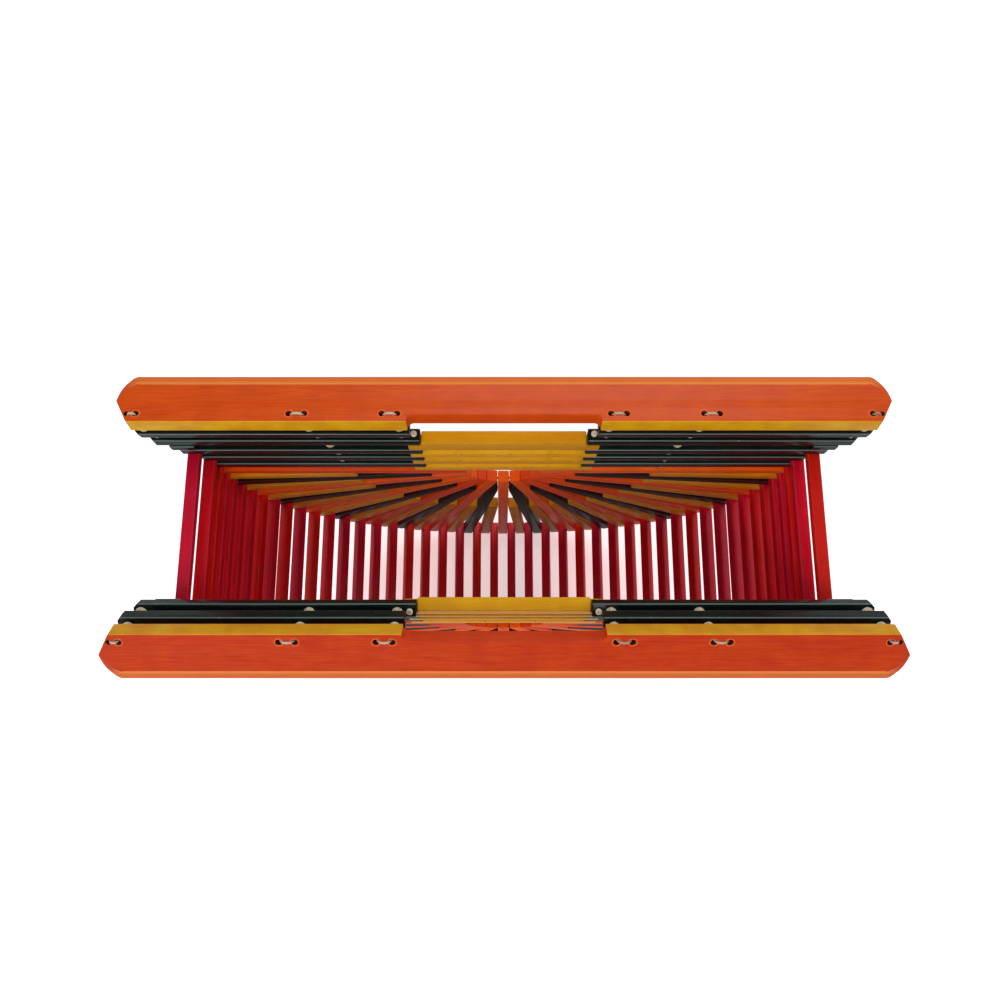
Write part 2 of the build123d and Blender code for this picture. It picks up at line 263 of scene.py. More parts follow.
# ------------------------------------------------------------------------------------ node helpers
class TreeMaker:
    """Adds nodes to one tree and links them, from left to right."""

    def __init__(self, tree: bpy.types.NodeTree) -> None:
        """Start adding to a tree."""
        self.tree = tree
        self.column = 0

    def add(self, kind: str, inputs: dict | None = None, **settings: object) -> bpy.types.Node:
        """Add a node, set it up and link it.

        Args:
            kind: The node's type name.
            inputs: Socket name or number to a value, or to an output socket to link from.
            settings: Properties of the node, such as operation or data_type.

        Returns:
            The new node.
        """
        node = self.tree.nodes.new(kind)
        node.location = (self.column * 190, -140 * (self.column % 3))
        self.column += 1
        for key, value in settings.items():
            setattr(node, key, value)
        for label, value in (inputs or {}).items():
            if isinstance(value, bpy.types.NodeSocket):
                self.tree.links.new(value, node.inputs[label])
            else:
                node.inputs[label].default_value = value
        return node

    def math(self, operation: str, *values: object, clamp: bool = False) -> bpy.types.NodeSocket:
        """Add a Math node and return its output."""
        node = self.add("ShaderNodeMath", dict(enumerate(values)), operation=operation, use_clamp=clamp)
        return node.outputs[0]

    def scaled(self, vector: object, factor: object) -> bpy.types.NodeSocket:
        """Add a node that scales a vector and return its output."""
        node = self.add("ShaderNodeVectorMath", {"Vector": vector, "Scale": factor}, operation="SCALE")
        return node.outputs["Vector"]

    def summed(self, first: object, second: object) -> bpy.types.NodeSocket:
        """Add a node that adds two vectors and return its output."""
        return self.add("ShaderNodeVectorMath", {0: first, 1: second}, operation="ADD").outputs["Vector"]

    def ranged(self, value: object, low: float, high: float, to_low: float = 0.0,
               to_high: float = 1.0) -> bpy.types.NodeSocket:
        """Add a clamped Map Range node and return its output."""
        inputs = {"Value": value, "From Min": low, "From Max": high, "To Min": to_low, "To Max": to_high}
        return self.add("ShaderNodeMapRange", inputs, clamp=True).outputs["Result"]

    def blended(self, factor: object, first: object, second: object) -> bpy.types.NodeSocket:
        """Add a colour Mix node and return its output."""
        node = self.add("ShaderNodeMix", data_type="RGBA")
        for index, value in ((0, factor), (6, first), (7, second)):
            if isinstance(value, bpy.types.NodeSocket):
                self.tree.links.new(value, node.inputs[index])
            else:
                node.inputs[index].default_value = value
        return node.outputs[2]


def new_tree(name: str, kind: str, inputs: dict[str, tuple[str, object]],
             outputs: dict[str, str]) -> tuple[bpy.types.NodeTree, TreeMaker, dict, bpy.types.Node]:
    """Make an empty tree with named sockets.

    Args:
        name: The tree's name.
        kind: GeometryNodeTree or ShaderNodeTree.
        inputs: Each input's name, with its socket type and its default or None.
        outputs: Each output's name, with its socket type.

    Returns:
        The tree, a maker for it, its inputs by name, and its output node.
    """
    tree = bpy.data.node_groups.new(name, kind)
    for label, (socket, default) in inputs.items():
        made = tree.interface.new_socket(label, in_out="INPUT", socket_type=socket)
        if default is not None:
            made.default_value = default
    for label, socket in outputs.items():
        tree.interface.new_socket(label, in_out="OUTPUT", socket_type=socket)
    maker = TreeMaker(tree)
    start = maker.add("NodeGroupInput")
    end = tree.nodes.new("NodeGroupOutput")
    end.location = (6000, 0)
    return tree, maker, {socket.name: socket for socket in start.outputs if socket.name}, end


# ------------------------------------------------------------------------------------ geometry trees
class Trees:
    """The Geometry Nodes trees that make whatever repeats on this bag, each built once."""

    def __init__(self) -> None:
        """Build every tree."""
        self.sticks = self._sticks()
        self.beads = self._beads()
        self.cords = self._cords()
        self.knots = self._knots()

    @staticmethod
    def _named(maker: TreeMaker, name: str, kind: str = "FLOAT_VECTOR") -> bpy.types.NodeSocket:
        """Read a named attribute and return its socket."""
        return maker.add("GeometryNodeInputNamedAttribute", {"Name": name}, data_type=kind).outputs[0]

    @staticmethod
    def _stored(maker: TreeMaker, geometry: object, name: str, value: object,
                kind: str = "FLOAT_VECTOR") -> bpy.types.NodeSocket:
        """Store a named attribute on the points and return the geometry."""
        node = maker.add("GeometryNodeStoreNamedAttribute", {"Geometry": geometry, "Name": name},
                         data_type=kind, domain="POINT")
        maker.tree.links.new(value, node.inputs["Value"])
        return node.outputs["Geometry"]

    def _along_cord(self, maker: TreeMaker) -> bpy.types.NodeSocket:
        """Return the turn that points Z along the cord at each point."""
        axis = self._named(maker, "axis")
        return maker.add("FunctionNodeAlignRotationToVector", {"Vector": axis}, axis="Z").outputs[0]

    @staticmethod
    def _ended(maker: TreeMaker, geometry: object, material: object, end: bpy.types.Node) -> None:
        """Finish a tree with Realize Instances and Set Material."""
        real = maker.add("GeometryNodeRealizeInstances", {"Geometry": geometry})
        painted = maker.add("GeometryNodeSetMaterial", {"Geometry": real.outputs[0], "Material": material})
        maker.tree.links.new(painted.outputs[0], end.inputs[0])

    def _sticks(self) -> bpy.types.NodeTree:
        """Square sticks with rounded edges, one along each line that it is given."""
        tree, maker, given, end = new_tree(
            "squared_sticks", "GeometryNodeTree",
            {"Lines": ("NodeSocketGeometry", None), "Depth": ("NodeSocketFloat", 0.007),
             "Width": ("NodeSocketFloat", 0.0065), "Rounding": ("NodeSocketFloat", 0.0005),
             "Paint": ("NodeSocketMaterial", None)}, {"Sticks": "NodeSocketGeometry"})
        lines = maker.add("GeometryNodeMeshToCurve", {"Mesh": given["Lines"]}).outputs[0]
        position = maker.add("GeometryNodeInputPosition").outputs[0]
        lines = self._stored(maker, lines, "spine", position)
        square = maker.add("GeometryNodeCurvePrimitiveQuadrilateral",
                           {"Width": given["Depth"], "Height": given["Width"]}).outputs[0]
        corners = {"Curve": square, "Count": 3, "Radius": given["Rounding"]}
        rounded = maker.add("GeometryNodeFilletCurve", corners, mode="POLY").outputs[0]
        rounded = self._stored(maker, rounded, "section", position)
        body = maker.add("GeometryNodeCurveToMesh",
                         {"Curve": lines, "Profile Curve": rounded, "Fill Caps": True}).outputs[0]
        section = maker.add("ShaderNodeSeparateXYZ", {0: self._named(maker, "section")})
        deep = maker.math("MULTIPLY", section.outputs[0], self._named(maker, "narrow", "FLOAT"))
        wide = maker.math("MULTIPLY", section.outputs[1], self._named(maker, "flat", "FLOAT"))
        sideways = maker.scaled(self._named(maker, "across"), deep)
        upward = maker.scaled(self._named(maker, "above"), wide)
        place = maker.summed(self._named(maker, "spine"), maker.summed(sideways, upward))
        body = maker.add("GeometryNodeSetPosition", {"Geometry": body, "Position": place}).outputs[0]
        grain = maker.add("ShaderNodeCombineXYZ", {0: self._named(maker, "along", "FLOAT"), 1: deep, 2: wide})
        body = self._stored(maker, body, "grain", grain.outputs[0])
        self._ended(maker, body, given["Paint"], end)
        return tree

    def _turned(self, maker: TreeMaker, radius: object, bore: float, flatten: float) -> bpy.types.NodeSocket:
        """A ball turned on a lathe, bored through along Z.

        Args:
            maker: The tree to add to.
            radius: The ball's radius.
            bore: Share of the radius that the bore takes.
            flatten: How much lower the ball is than a true sphere.

        Returns:
            The ball's geometry.
        """
        half = math.acos(bore)
        arc = maker.add("GeometryNodeCurveArc",
                        {"Resolution": 12, "Radius": radius, "Start Angle": -half, "Sweep Angle": 2 * half})
        closed = maker.add("GeometryNodeSetSplineCyclic", {"Geometry": arc.outputs[0], "Cyclic": True})
        low = maker.add("GeometryNodeTransform", {"Geometry": closed.outputs[0], "Scale": (1, flatten, 1)})
        axis = maker.add("GeometryNodeCurvePrimitiveCircle", {"Resolution": 20, "Radius": 1e-6})
        return maker.add("GeometryNodeCurveToMesh",
                         {"Curve": axis.outputs[0], "Profile Curve": low.outputs[0]}).outputs[0]

    def _beads(self) -> bpy.types.NodeTree:
        """Bored beads, one at each point, turned so that the bore follows the cord."""
        tree, maker, given, end = new_tree(
            "strung_beads", "GeometryNodeTree",
            {"Points": ("NodeSocketGeometry", None), "Radius": ("NodeSocketFloat", 0.0028),
             "Unevenness": ("NodeSocketFloat", 0.04), "Seed": ("NodeSocketInt", 3),
             "Finish": ("NodeSocketMaterial", None)}, {"Beads": "NodeSocketGeometry"})
        ball = self._turned(maker, given["Radius"], bore=0.42, flatten=0.97)
        position = maker.add("GeometryNodeInputPosition").outputs[0]
        ball = self._stored(maker, ball, "grain", position)
        turn = self._along_cord(maker)
        smaller = maker.math("SUBTRACT", 1.0, given["Unevenness"])
        size = maker.add("FunctionNodeRandomValue", {"Seed": given["Seed"]}, data_type="FLOAT")
        maker.tree.links.new(smaller, size.inputs["Min"])
        placed = maker.add("GeometryNodeInstanceOnPoints",
                           {"Points": given["Points"], "Instance": ball, "Rotation": turn,
                            "Scale": size.outputs["Value"]}).outputs[0]
        smooth = maker.add("GeometryNodeSetShadeSmooth", {"Geometry": placed}).outputs[0]
        self._ended(maker, smooth, given["Finish"], end)
        return tree

    def _cords(self) -> bpy.types.NodeTree:
        """Three-strand twisted cord along each line."""
        tree, maker, given, end = new_tree(
            "twisted_cord", "GeometryNodeTree",
            {"Lines": ("NodeSocketGeometry", None), "Radius": ("NodeSocketFloat", 0.0009),
             "Turns per metre": ("NodeSocketFloat", 170.0), "Groove": ("NodeSocketFloat", 0.16),
             "Step": ("NodeSocketFloat", 0.0008), "Fibre": ("NodeSocketMaterial", None)},
            {"Cord": "NodeSocketGeometry"})
        lines = maker.add("GeometryNodeMeshToCurve", {"Mesh": given["Lines"]}).outputs[0]
        steps = {"Curve": lines, "Length": given["Step"]}
        even = maker.add("GeometryNodeResampleCurve", steps, mode="LENGTH")
        spline = maker.add("GeometryNodeSplineParameter")
        turns = maker.math("MULTIPLY", spline.outputs["Length"], given["Turns per metre"])
        tilt = maker.math("MULTIPLY", turns, math.tau)
        twisted = maker.add("GeometryNodeSetCurveTilt", {"Curve": even.outputs[0], "Tilt": tilt}).outputs[0]
        twisted = self._stored(maker, twisted, "along", spline.outputs["Length"], "FLOAT")
        ring = maker.add("GeometryNodeCurvePrimitiveCircle", {"Resolution": 12, "Radius": given["Radius"]})
        angle = maker.math("MULTIPLY", spline.outputs["Factor"], math.tau * 3)
        lobe = maker.ranged(maker.math("COSINE", angle), -1.0, 1.0, 0.0, 1.0)
        ring = self._stored(maker, ring.outputs[0], "strand", lobe, "FLOAT")
        sunk = maker.math("MULTIPLY", maker.math("SUBTRACT", 1.0, lobe), given["Groove"])
        position = maker.add("GeometryNodeInputPosition").outputs[0]
        ring = maker.add("GeometryNodeSetPosition",
                         {"Geometry": ring,
                          "Position": maker.scaled(position, maker.math("SUBTRACT", 1.0, sunk))}).outputs[0]
        body = maker.add("GeometryNodeCurveToMesh",
                         {"Curve": twisted, "Profile Curve": ring, "Fill Caps": True}).outputs[0]
        smooth = maker.add("GeometryNodeSetShadeSmooth", {"Geometry": body}).outputs[0]
        self._ended(maker, smooth, given["Fibre"], end)
        return tree

    def _knots(self) -> bpy.types.NodeTree:
        """Small wound knots, one at each point."""
        tree, maker, given, end = new_tree(
            "wound_knots", "GeometryNodeTree",
            {"Points": ("NodeSocketGeometry", None), "Size": ("NodeSocketFloat", 0.0032),
             "Fibre": ("NodeSocketMaterial", None)}, {"Knots": "NodeSocketGeometry"})
        strand = maker.math("MULTIPLY", given["Size"], 0.24)
        coil = maker.math("SUBTRACT", maker.math("MULTIPLY", given["Size"], 0.5), strand)
        tall = maker.math("MULTIPLY", given["Size"], 0.42)
        wound = maker.add("GeometryNodeCurveSpiral",
                          {"Resolution": 14, "Rotations": 2.2, "Start Radius": coil, "End Radius": coil,
                           "Height": tall}).outputs[0]
        ring = maker.add("GeometryNodeCurvePrimitiveCircle", {"Resolution": 8, "Radius": strand})
        # A strand mark of 0.8 keeps the cord finish's painted groove shade light on the knots.
        unshaded = maker.add("ShaderNodeValue").outputs[0]
        unshaded.default_value = 0.8
        ring = self._stored(maker, ring.outputs[0], "strand", unshaded, "FLOAT")
        body = maker.add("GeometryNodeCurveToMesh",
                         {"Curve": wound, "Profile Curve": ring, "Fill Caps": True}).outputs[0]
        down = maker.add("ShaderNodeCombineXYZ", {2: maker.math("MULTIPLY", tall, -0.5)}).outputs[0]
        middle = maker.add("GeometryNodeTransform", {"Geometry": body, "Translation": down}).outputs[0]
        turn = self._along_cord(maker)
        placed = maker.add("GeometryNodeInstanceOnPoints",
                           {"Points": given["Points"], "Instance": middle,
                            "Rotation": turn}).outputs[0]
        smooth = maker.add("GeometryNodeSetShadeSmooth", {"Geometry": placed}).outputs[0]
        self._ended(maker, smooth, given["Fibre"], end)
        return tree


# ------------------------------------------------------------------------------------ shader groups
class Effects:
    """Shader node groups that more than one finish uses, each built once."""

    def __init__(self) -> None:
        """Build every group."""
        self.brushed = self._brushed()
        self.rubbed = self._rubbed()
        self.toned = self._toned()

    @staticmethod
    def _brushed() -> bpy.types.NodeTree:
        """Brush marks that run along a stick, and slow changes of thickness in the paint."""
        tree, maker, given, end = new_tree(
            "brush_marks", "ShaderNodeTree",
            {"Grain": ("NodeSocketVector", None), "Shade": ("NodeSocketFloat", 0.5),
             "Stretch": ("NodeSocketFloat", 0.05), "Fineness": ("NodeSocketFloat", 1200.0)},
            {"Streak": "NodeSocketFloat", "Mottle": "NodeSocketFloat", "Height": "NodeSocketFloat"})
        own = maker.math("MULTIPLY", given["Shade"], 7.3)
        shift = maker.add("ShaderNodeCombineXYZ", {0: own, 1: own, 2: own}).outputs[0]
        flat = maker.add("ShaderNodeCombineXYZ", {0: given["Stretch"], 1: 1.0, 2: 1.0}).outputs[0]
        long = maker.add("ShaderNodeVectorMath", {0: given["Grain"], 1: flat}, operation="MULTIPLY")
        moved = maker.summed(long.outputs[0], shift)
        broad = maker.add("ShaderNodeTexNoise", {"Vector": moved, "Scale": given["Fineness"], "Detail": 3.0})
        finer = maker.math("MULTIPLY", given["Fineness"], 3.3)
        fine = maker.add("ShaderNodeTexNoise", {"Vector": moved, "Scale": finer, "Detail": 2.0})
        both = maker.math("ADD", maker.math("MULTIPLY", broad.outputs[0], 0.65),
                          maker.math("MULTIPLY", fine.outputs[0], 0.35))
        streak = maker.ranged(both, 0.36, 0.64)
        loose = maker.summed(given["Grain"], shift)
        mottle = maker.add("ShaderNodeTexNoise", {"Vector": loose, "Scale": 85.0, "Detail": 2.0})
        maker.tree.links.new(streak, end.inputs["Streak"])
        maker.tree.links.new(maker.ranged(mottle.outputs[0], 0.32, 0.68), end.inputs["Mottle"])
        maker.tree.links.new(both, end.inputs["Height"])
        return tree

    @staticmethod
    def _rubbed() -> bpy.types.NodeTree:
        """Where paint is rubbed off: along the edges, and in a few small chips."""
        tree, maker, given, end = new_tree(
            "rubbed_paint", "ShaderNodeTree",
            {"Grain": ("NodeSocketVector", None), "Shade": ("NodeSocketFloat", 0.5),
             "Half depth": ("NodeSocketFloat", 0.0035), "Half width": ("NodeSocketFloat", 0.00325),
             "Reach": ("NodeSocketFloat", 0.0007), "Amount": ("NodeSocketFloat", 0.4)},
            {"Edge": "NodeSocketFloat", "Worn": "NodeSocketFloat"})
        parts = maker.add("ShaderNodeSeparateXYZ", {0: given["Grain"]})
        deep = maker.math("SUBTRACT", maker.math("ABSOLUTE", parts.outputs[1]), given["Half depth"])
        wide = maker.math("SUBTRACT", maker.math("ABSOLUTE", parts.outputs[2]), given["Half width"])
        corner = maker.math("ADD", maker.math("MINIMUM", deep, wide), given["Reach"])
        edge = maker.math("DIVIDE", corner, given["Reach"], clamp=True)
        own = maker.math("MULTIPLY", given["Shade"], 3.1)
        moved = maker.summed(given["Grain"], maker.add("ShaderNodeCombineXYZ", {0: own, 1: own}).outputs[0])
        rub = maker.add("ShaderNodeTexNoise", {"Vector": moved, "Scale": 420.0, "Detail": 4.0}).outputs[0]
        near = maker.math("ADD", rub, maker.math("MULTIPLY", edge, 0.22))
        limit = maker.math("SUBTRACT", 0.88, maker.math("MULTIPLY", given["Amount"], 0.26))
        worn = maker.math("MULTIPLY", maker.math("SUBTRACT", near, limit), 14.0, clamp=True)
        maker.tree.links.new(edge, end.inputs["Edge"])
        maker.tree.links.new(worn, end.inputs["Worn"])
        return tree

    @staticmethod
    def _toned() -> bpy.types.NodeTree:
        """One coat of paint: its streaks, its thin places, its tone on each stick, and what shows through."""
        tree, maker, given, end = new_tree(
            "painted_tone", "ShaderNodeTree",
            {"Thin": ("NodeSocketColor", None), "Full": ("NodeSocketColor", None),
             "Thick": ("NodeSocketColor", None), "Bare": ("NodeSocketColor", None),
             "Streak": ("NodeSocketFloat", 0.5), "Mottle": ("NodeSocketFloat", 0.5),
             "Worn": ("NodeSocketFloat", 0.0), "Shade": ("NodeSocketFloat", 0.5),
             "Strength": ("NodeSocketFloat", 0.5), "Spread": ("NodeSocketFloat", 0.2)},
            {"Colour": "NodeSocketColor"})
        thinner = maker.math("MULTIPLY", given["Streak"], given["Strength"])
        body = maker.blended(thinner, given["Full"], given["Thin"])
        pooled = maker.math("MULTIPLY", given["Mottle"], given["Strength"])
        body = maker.blended(pooled, body, given["Thick"])
        lean = maker.math("SUBTRACT", given["Shade"], 0.5)
        value = maker.math("ADD", 1.0, maker.math("MULTIPLY", lean, given["Spread"]))
        hue = maker.math("ADD", 0.5, maker.math("MULTIPLY", lean, 0.012))
        body = maker.add("ShaderNodeHueSaturation", {"Color": body, "Value": value, "Hue": hue}).outputs[0]
        maker.tree.links.new(maker.blended(given["Worn"], body, given["Bare"]), end.inputs["Colour"])
        return tree


# ------------------------------------------------------------------------------------ finishes
def new_material(name: str) -> tuple[bpy.types.Material, TreeMaker]:
    """Start a node material from an empty tree.

    Args:
        name: The material's name.

    Returns:
        The material, and a maker for its tree.
    """
    material = bpy.data.materials.new(name)
    material.use_nodes = True
    material.node_tree.nodes.clear()
    return material, TreeMaker(material.node_tree)


def surfaced(maker: TreeMaker, inputs: dict[str, object]) -> None:
    """End a material with its one surface shader, set up from named inputs."""
    shader = maker.add("ShaderNodeBsdfPrincipled", inputs)
    maker.add("ShaderNodeOutputMaterial", {"Surface": shader.outputs[0]})


@dataclass(frozen=True)
class Paint:
    """Brushed lacquer on wood, with its own colour, gloss, streaks and wear, and a painted highlight along
    its edges.
    """

    slot: str
    full: Colour                # where the coat is even
    thin: Colour                # in the streaks that the brush leaves
    thick: Colour               # where the paint pools
    bare_and_highlight: Colour                # what shows through where it is rubbed off; also the colour of the painted highlight along edges and ridges
    roughness: float = 0.4
    coat: float = 0.06
    strength: float = 0.5       # of the streaks and pools
    spread: float = 0.22        # in brightness, from stick to stick
    wear: float = 0.35
    relief: float = 0.25        # of the brush marks
    edge: float = 0.2           # how far the edges go towards the bare colour: worn paint, and a painted highlight where that colour is pale
    gloss: float = 0.18

    def material(self, name: str, depth: float, width: float, effects: Effects,
                 edge_paint: Colour | None = None) -> bpy.types.Material:
        """Make the node material for sticks of one section.

        Args:
            name: The material's name.
            depth: The sticks' size from front to back, metres.
            width: The sticks' other size, metres.
            effects: The shared shader groups.
            edge_paint: A second colour, on the part that the attribute edge_paint marks.

        Returns:
            The finished material.
        """
        material, maker = new_material(name)
        grain = maker.add("ShaderNodeAttribute", attribute_name="grain").outputs["Vector"]
        shade = maker.add("ShaderNodeAttribute", attribute_name="shade").outputs["Fac"]
        marks = maker.add("ShaderNodeGroup", node_tree=effects.brushed)
        rubbed = maker.add("ShaderNodeGroup", {"Half depth": depth / 2, "Half width": width / 2,
                                               "Amount": self.wear}, node_tree=effects.rubbed)
        for group in (marks, rubbed):
            maker.tree.links.new(grain, group.inputs["Grain"])
            maker.tree.links.new(shade, group.inputs["Shade"])
        full, thin = self.full, self.thin
        if edge_paint is not None:
            marked = maker.add("ShaderNodeAttribute", attribute_name="edge_paint").outputs["Fac"]
            ragged = maker.math("ADD", marked, maker.math("MULTIPLY", marks.outputs["Streak"], 0.22))
            mask = maker.ranged(ragged, 0.55, 0.62)
            full = maker.blended(mask, self.full, edge_paint)
            thin = maker.blended(mask, self.thin, scaled_colour(edge_paint, 0.75))
        tone = maker.add("ShaderNodeGroup", {
            "Thick": self.thick, "Bare": self.bare_and_highlight, "Streak": marks.outputs["Streak"],
            "Mottle": maker.math("MULTIPLY", marks.outputs["Mottle"], 0.5), "Worn": rubbed.outputs["Worn"],
            "Shade": shade, "Strength": self.strength, "Spread": self.spread}, node_tree=effects.toned)
        for label, value in (("Full", full), ("Thin", thin)):
            if isinstance(value, bpy.types.NodeSocket):
                maker.tree.links.new(value, tone.inputs[label])
            else:
                tone.inputs[label].default_value = value
        # Edges go towards the bare colour: where it is pale, as on the green slats, this is a painted
        # highlight; where it is dark, worn paint.
        edge_glint_and_wear = maker.math("MULTIPLY", maker.math("POWER", rubbed.outputs["Edge"], 1.6), self.edge)
        colour = maker.blended(edge_glint_and_wear, tone.outputs["Colour"], self.bare_and_highlight)
        if edge_paint is not None:
            colour = self._stained_and_shaded(maker, self._ridge_highlighted(maker, colour))
        uneven = maker.math("MULTIPLY", marks.outputs["Streak"], 0.16)
        dull = maker.math("MULTIPLY", rubbed.outputs["Worn"], 0.25)
        rough = maker.math("ADD", maker.math("ADD", uneven, dull), self.roughness - 0.06)
        lost = maker.math("MULTIPLY", rubbed.outputs["Worn"], 0.5)
        relief = maker.math("SUBTRACT", marks.outputs["Height"], lost)
        bump = maker.add("ShaderNodeBump", {"Strength": self.relief, "Distance": 0.0004, "Height": relief})
        surfaced(maker, {
            "Base Color": colour, "Roughness": rough, "Normal": bump.outputs["Normal"],
            "Coat Weight": self.coat, "Coat Roughness": 0.16, "Specular IOR Level": self.gloss})
        return material

    def _ridge_highlighted(self, maker: TreeMaker, colour: bpy.types.NodeSocket) -> bpy.types.NodeSocket:
        """Paint a highlight along the bevel ridges and hole rims that the ridge mark picks out, by blending
        towards the bare colour.
        """
        ridge_highlight = maker.add("ShaderNodeAttribute", attribute_name="ridge_highlight").outputs["Fac"]
        return maker.blended(maker.ranged(ridge_highlight, 0.5, 1.0, 0.0, 0.8), colour, self.bare_and_highlight)

    @staticmethod
    def _stained_and_shaded(maker: TreeMaker, colour: bpy.types.NodeSocket) -> bpy.types.NodeSocket:
        """Darken the paint round and inside the holes that the attribute hole marks: painted shade inside the
        bore, a dark stain round its mouth.
        """
        hole = maker.add("ShaderNodeAttribute", attribute_name="hole").outputs["Fac"]
        dark_red = paint_colour(112, 14, 8)
        return maker.blended(maker.ranged(hole, 0.15, 0.9, 0.0, 0.92), colour, dark_red)


@dataclass(frozen=True)
class Turned:
    """Pale turned beads, slightly polished by handling."""

    slot: str = "bead"
    pale: Colour = paint_colour(212, 200, 172)
    dark: Colour = paint_colour(150, 128, 96)

    def material(self) -> bpy.types.Material:
        """Make the node material for the beads."""
        material, maker = new_material("pale_bead")
        grain = maker.add("ShaderNodeAttribute", attribute_name="grain").outputs["Vector"]
        place = maker.add("ShaderNodeTexCoord").outputs["Object"]
        waves = {"Vector": grain, "Scale": 160.0, "Distortion": 3.0, "Detail": 2.0}
        rings = maker.add("ShaderNodeTexWave", waves, wave_type="BANDS", bands_direction="X")
        dirt = maker.add("ShaderNodeTexNoise", {"Vector": place, "Scale": 240.0, "Detail": 3.0})
        both = maker.math("ADD", maker.math("MULTIPLY", rings.outputs["Fac"], 0.35),
                          maker.ranged(dirt.outputs[0], 0.4, 0.75, 0.0, 0.6))
        colour = maker.blended(both, self.pale, self.dark)
        bump = maker.add("ShaderNodeBump", {"Strength": 0.2, "Distance": 0.0002, "Height": both})
        rough = maker.ranged(dirt.outputs[0], 0.3, 0.7, 0.34, 0.52)
        surfaced(maker, {"Base Color": colour, "Roughness": rough, "Normal": bump.outputs[0]})
        return material


@dataclass(frozen=True)
class Fibre:
    """Off-white twisted cord, with painted shade between its strands and a few dirty patches."""

    slot: str = "cord"
    unshaded: Colour = paint_colour(226, 216, 194)
    soil_and_shade: Colour = paint_colour(128, 104, 78)

    def material(self) -> bpy.types.Material:
        """Make the node material for the cords and knots."""
        material, maker = new_material("twisted_fibre")
        strand = maker.add("ShaderNodeAttribute", attribute_name="strand").outputs["Fac"]
        place = maker.add("ShaderNodeTexCoord").outputs["Object"]
        hairs = maker.add("ShaderNodeTexNoise", {"Vector": place, "Scale": 2600.0, "Detail": 3.0}).outputs[0]
        stain = maker.add("ShaderNodeTexNoise", {"Vector": place, "Scale": 60.0, "Detail": 2.0}).outputs[0]
        # Painted shade in the grooves between strands, plus dirty patches from the noise.
        groove_shade_and_grime = maker.math("ADD", maker.math("MULTIPLY", maker.math("SUBTRACT", 1.0, strand), 0.6),
                           maker.ranged(stain, 0.45, 0.7, 0.0, 0.5), clamp=True)
        colour = maker.blended(groove_shade_and_grime, self.unshaded, self.soil_and_shade)
        bump = maker.add("ShaderNodeBump", {"Strength": 0.5, "Distance": 0.0002, "Height": hairs})
        rough = maker.ranged(hairs, 0.3, 0.7, 0.7, 0.95)
        surfaced(maker, {"Base Color": colour, "Roughness": rough, "Normal": bump.outputs[0],
                         "Sheen Weight": 0.25})
        return material


@dataclass(frozen=True)
class Finishes:
    """Every finish on the bag."""

    # The board's light orange bare colour is also its painted highlight on the bevel ridge and round the hole
    # rims.
    board: Paint = Paint("orange_board", paint_colour(204, 58, 0), paint_colour(220, 90, 2),
                         paint_colour(176, 38, 0), paint_colour(246, 150, 56), roughness=0.44, strength=0.6,
                         wear=0.15, edge=0.25)
    # The green's pale teal bare colour, pulled far along the edges, is a painted highlight on the slats'
    # edges.
    green: Paint = Paint("green_slat", paint_colour(5, 20, 17), paint_colour(10, 30, 26),
                         paint_colour(2, 12, 10), paint_colour(160, 188, 184), roughness=0.28, wear=0.25,
                         edge=0.75)
    yellow: Paint = Paint("yellow_slat", paint_colour(212, 150, 6), paint_colour(228, 176, 32),
                          paint_colour(182, 112, 0), paint_colour(116, 80, 24), wear=0.5)
    orange: Paint = Paint("orange_rib", paint_colour(216, 64, 0), paint_colour(232, 98, 6),
                          paint_colour(182, 40, 0), paint_colour(242, 140, 50), wear=0.15, edge=0.3)
    dark: Paint = Paint("dark_rib", paint_colour(18, 10, 8), paint_colour(32, 18, 13),
                        paint_colour(10, 5, 4), paint_colour(110, 84, 64), wear=0.2, edge=0.3)
    ochre: Paint = Paint("ochre_rib", paint_colour(196, 120, 4), paint_colour(212, 148, 20),
                         paint_colour(156, 84, 0), paint_colour(230, 184, 80), wear=0.2, edge=0.3)
    red: Paint = Paint("red_slat", paint_colour(212, 6, 34), paint_colour(226, 26, 56),
                       paint_colour(176, 0, 20), paint_colour(236, 104, 120), wear=0.12, edge=0.3)
    board_edge: Colour = paint_colour(226, 170, 16)
    bead: Turned = Turned()
    cord: Fibre = Fibre()


# ------------------------------------------------------------------------------------ laying out
@dataclass(frozen=True)
class Stick:
    """One straight stick in its wall's frame, before it is given a section."""

    start: Vector
    end: Vector
    across: Vector
    pointed: bool = False


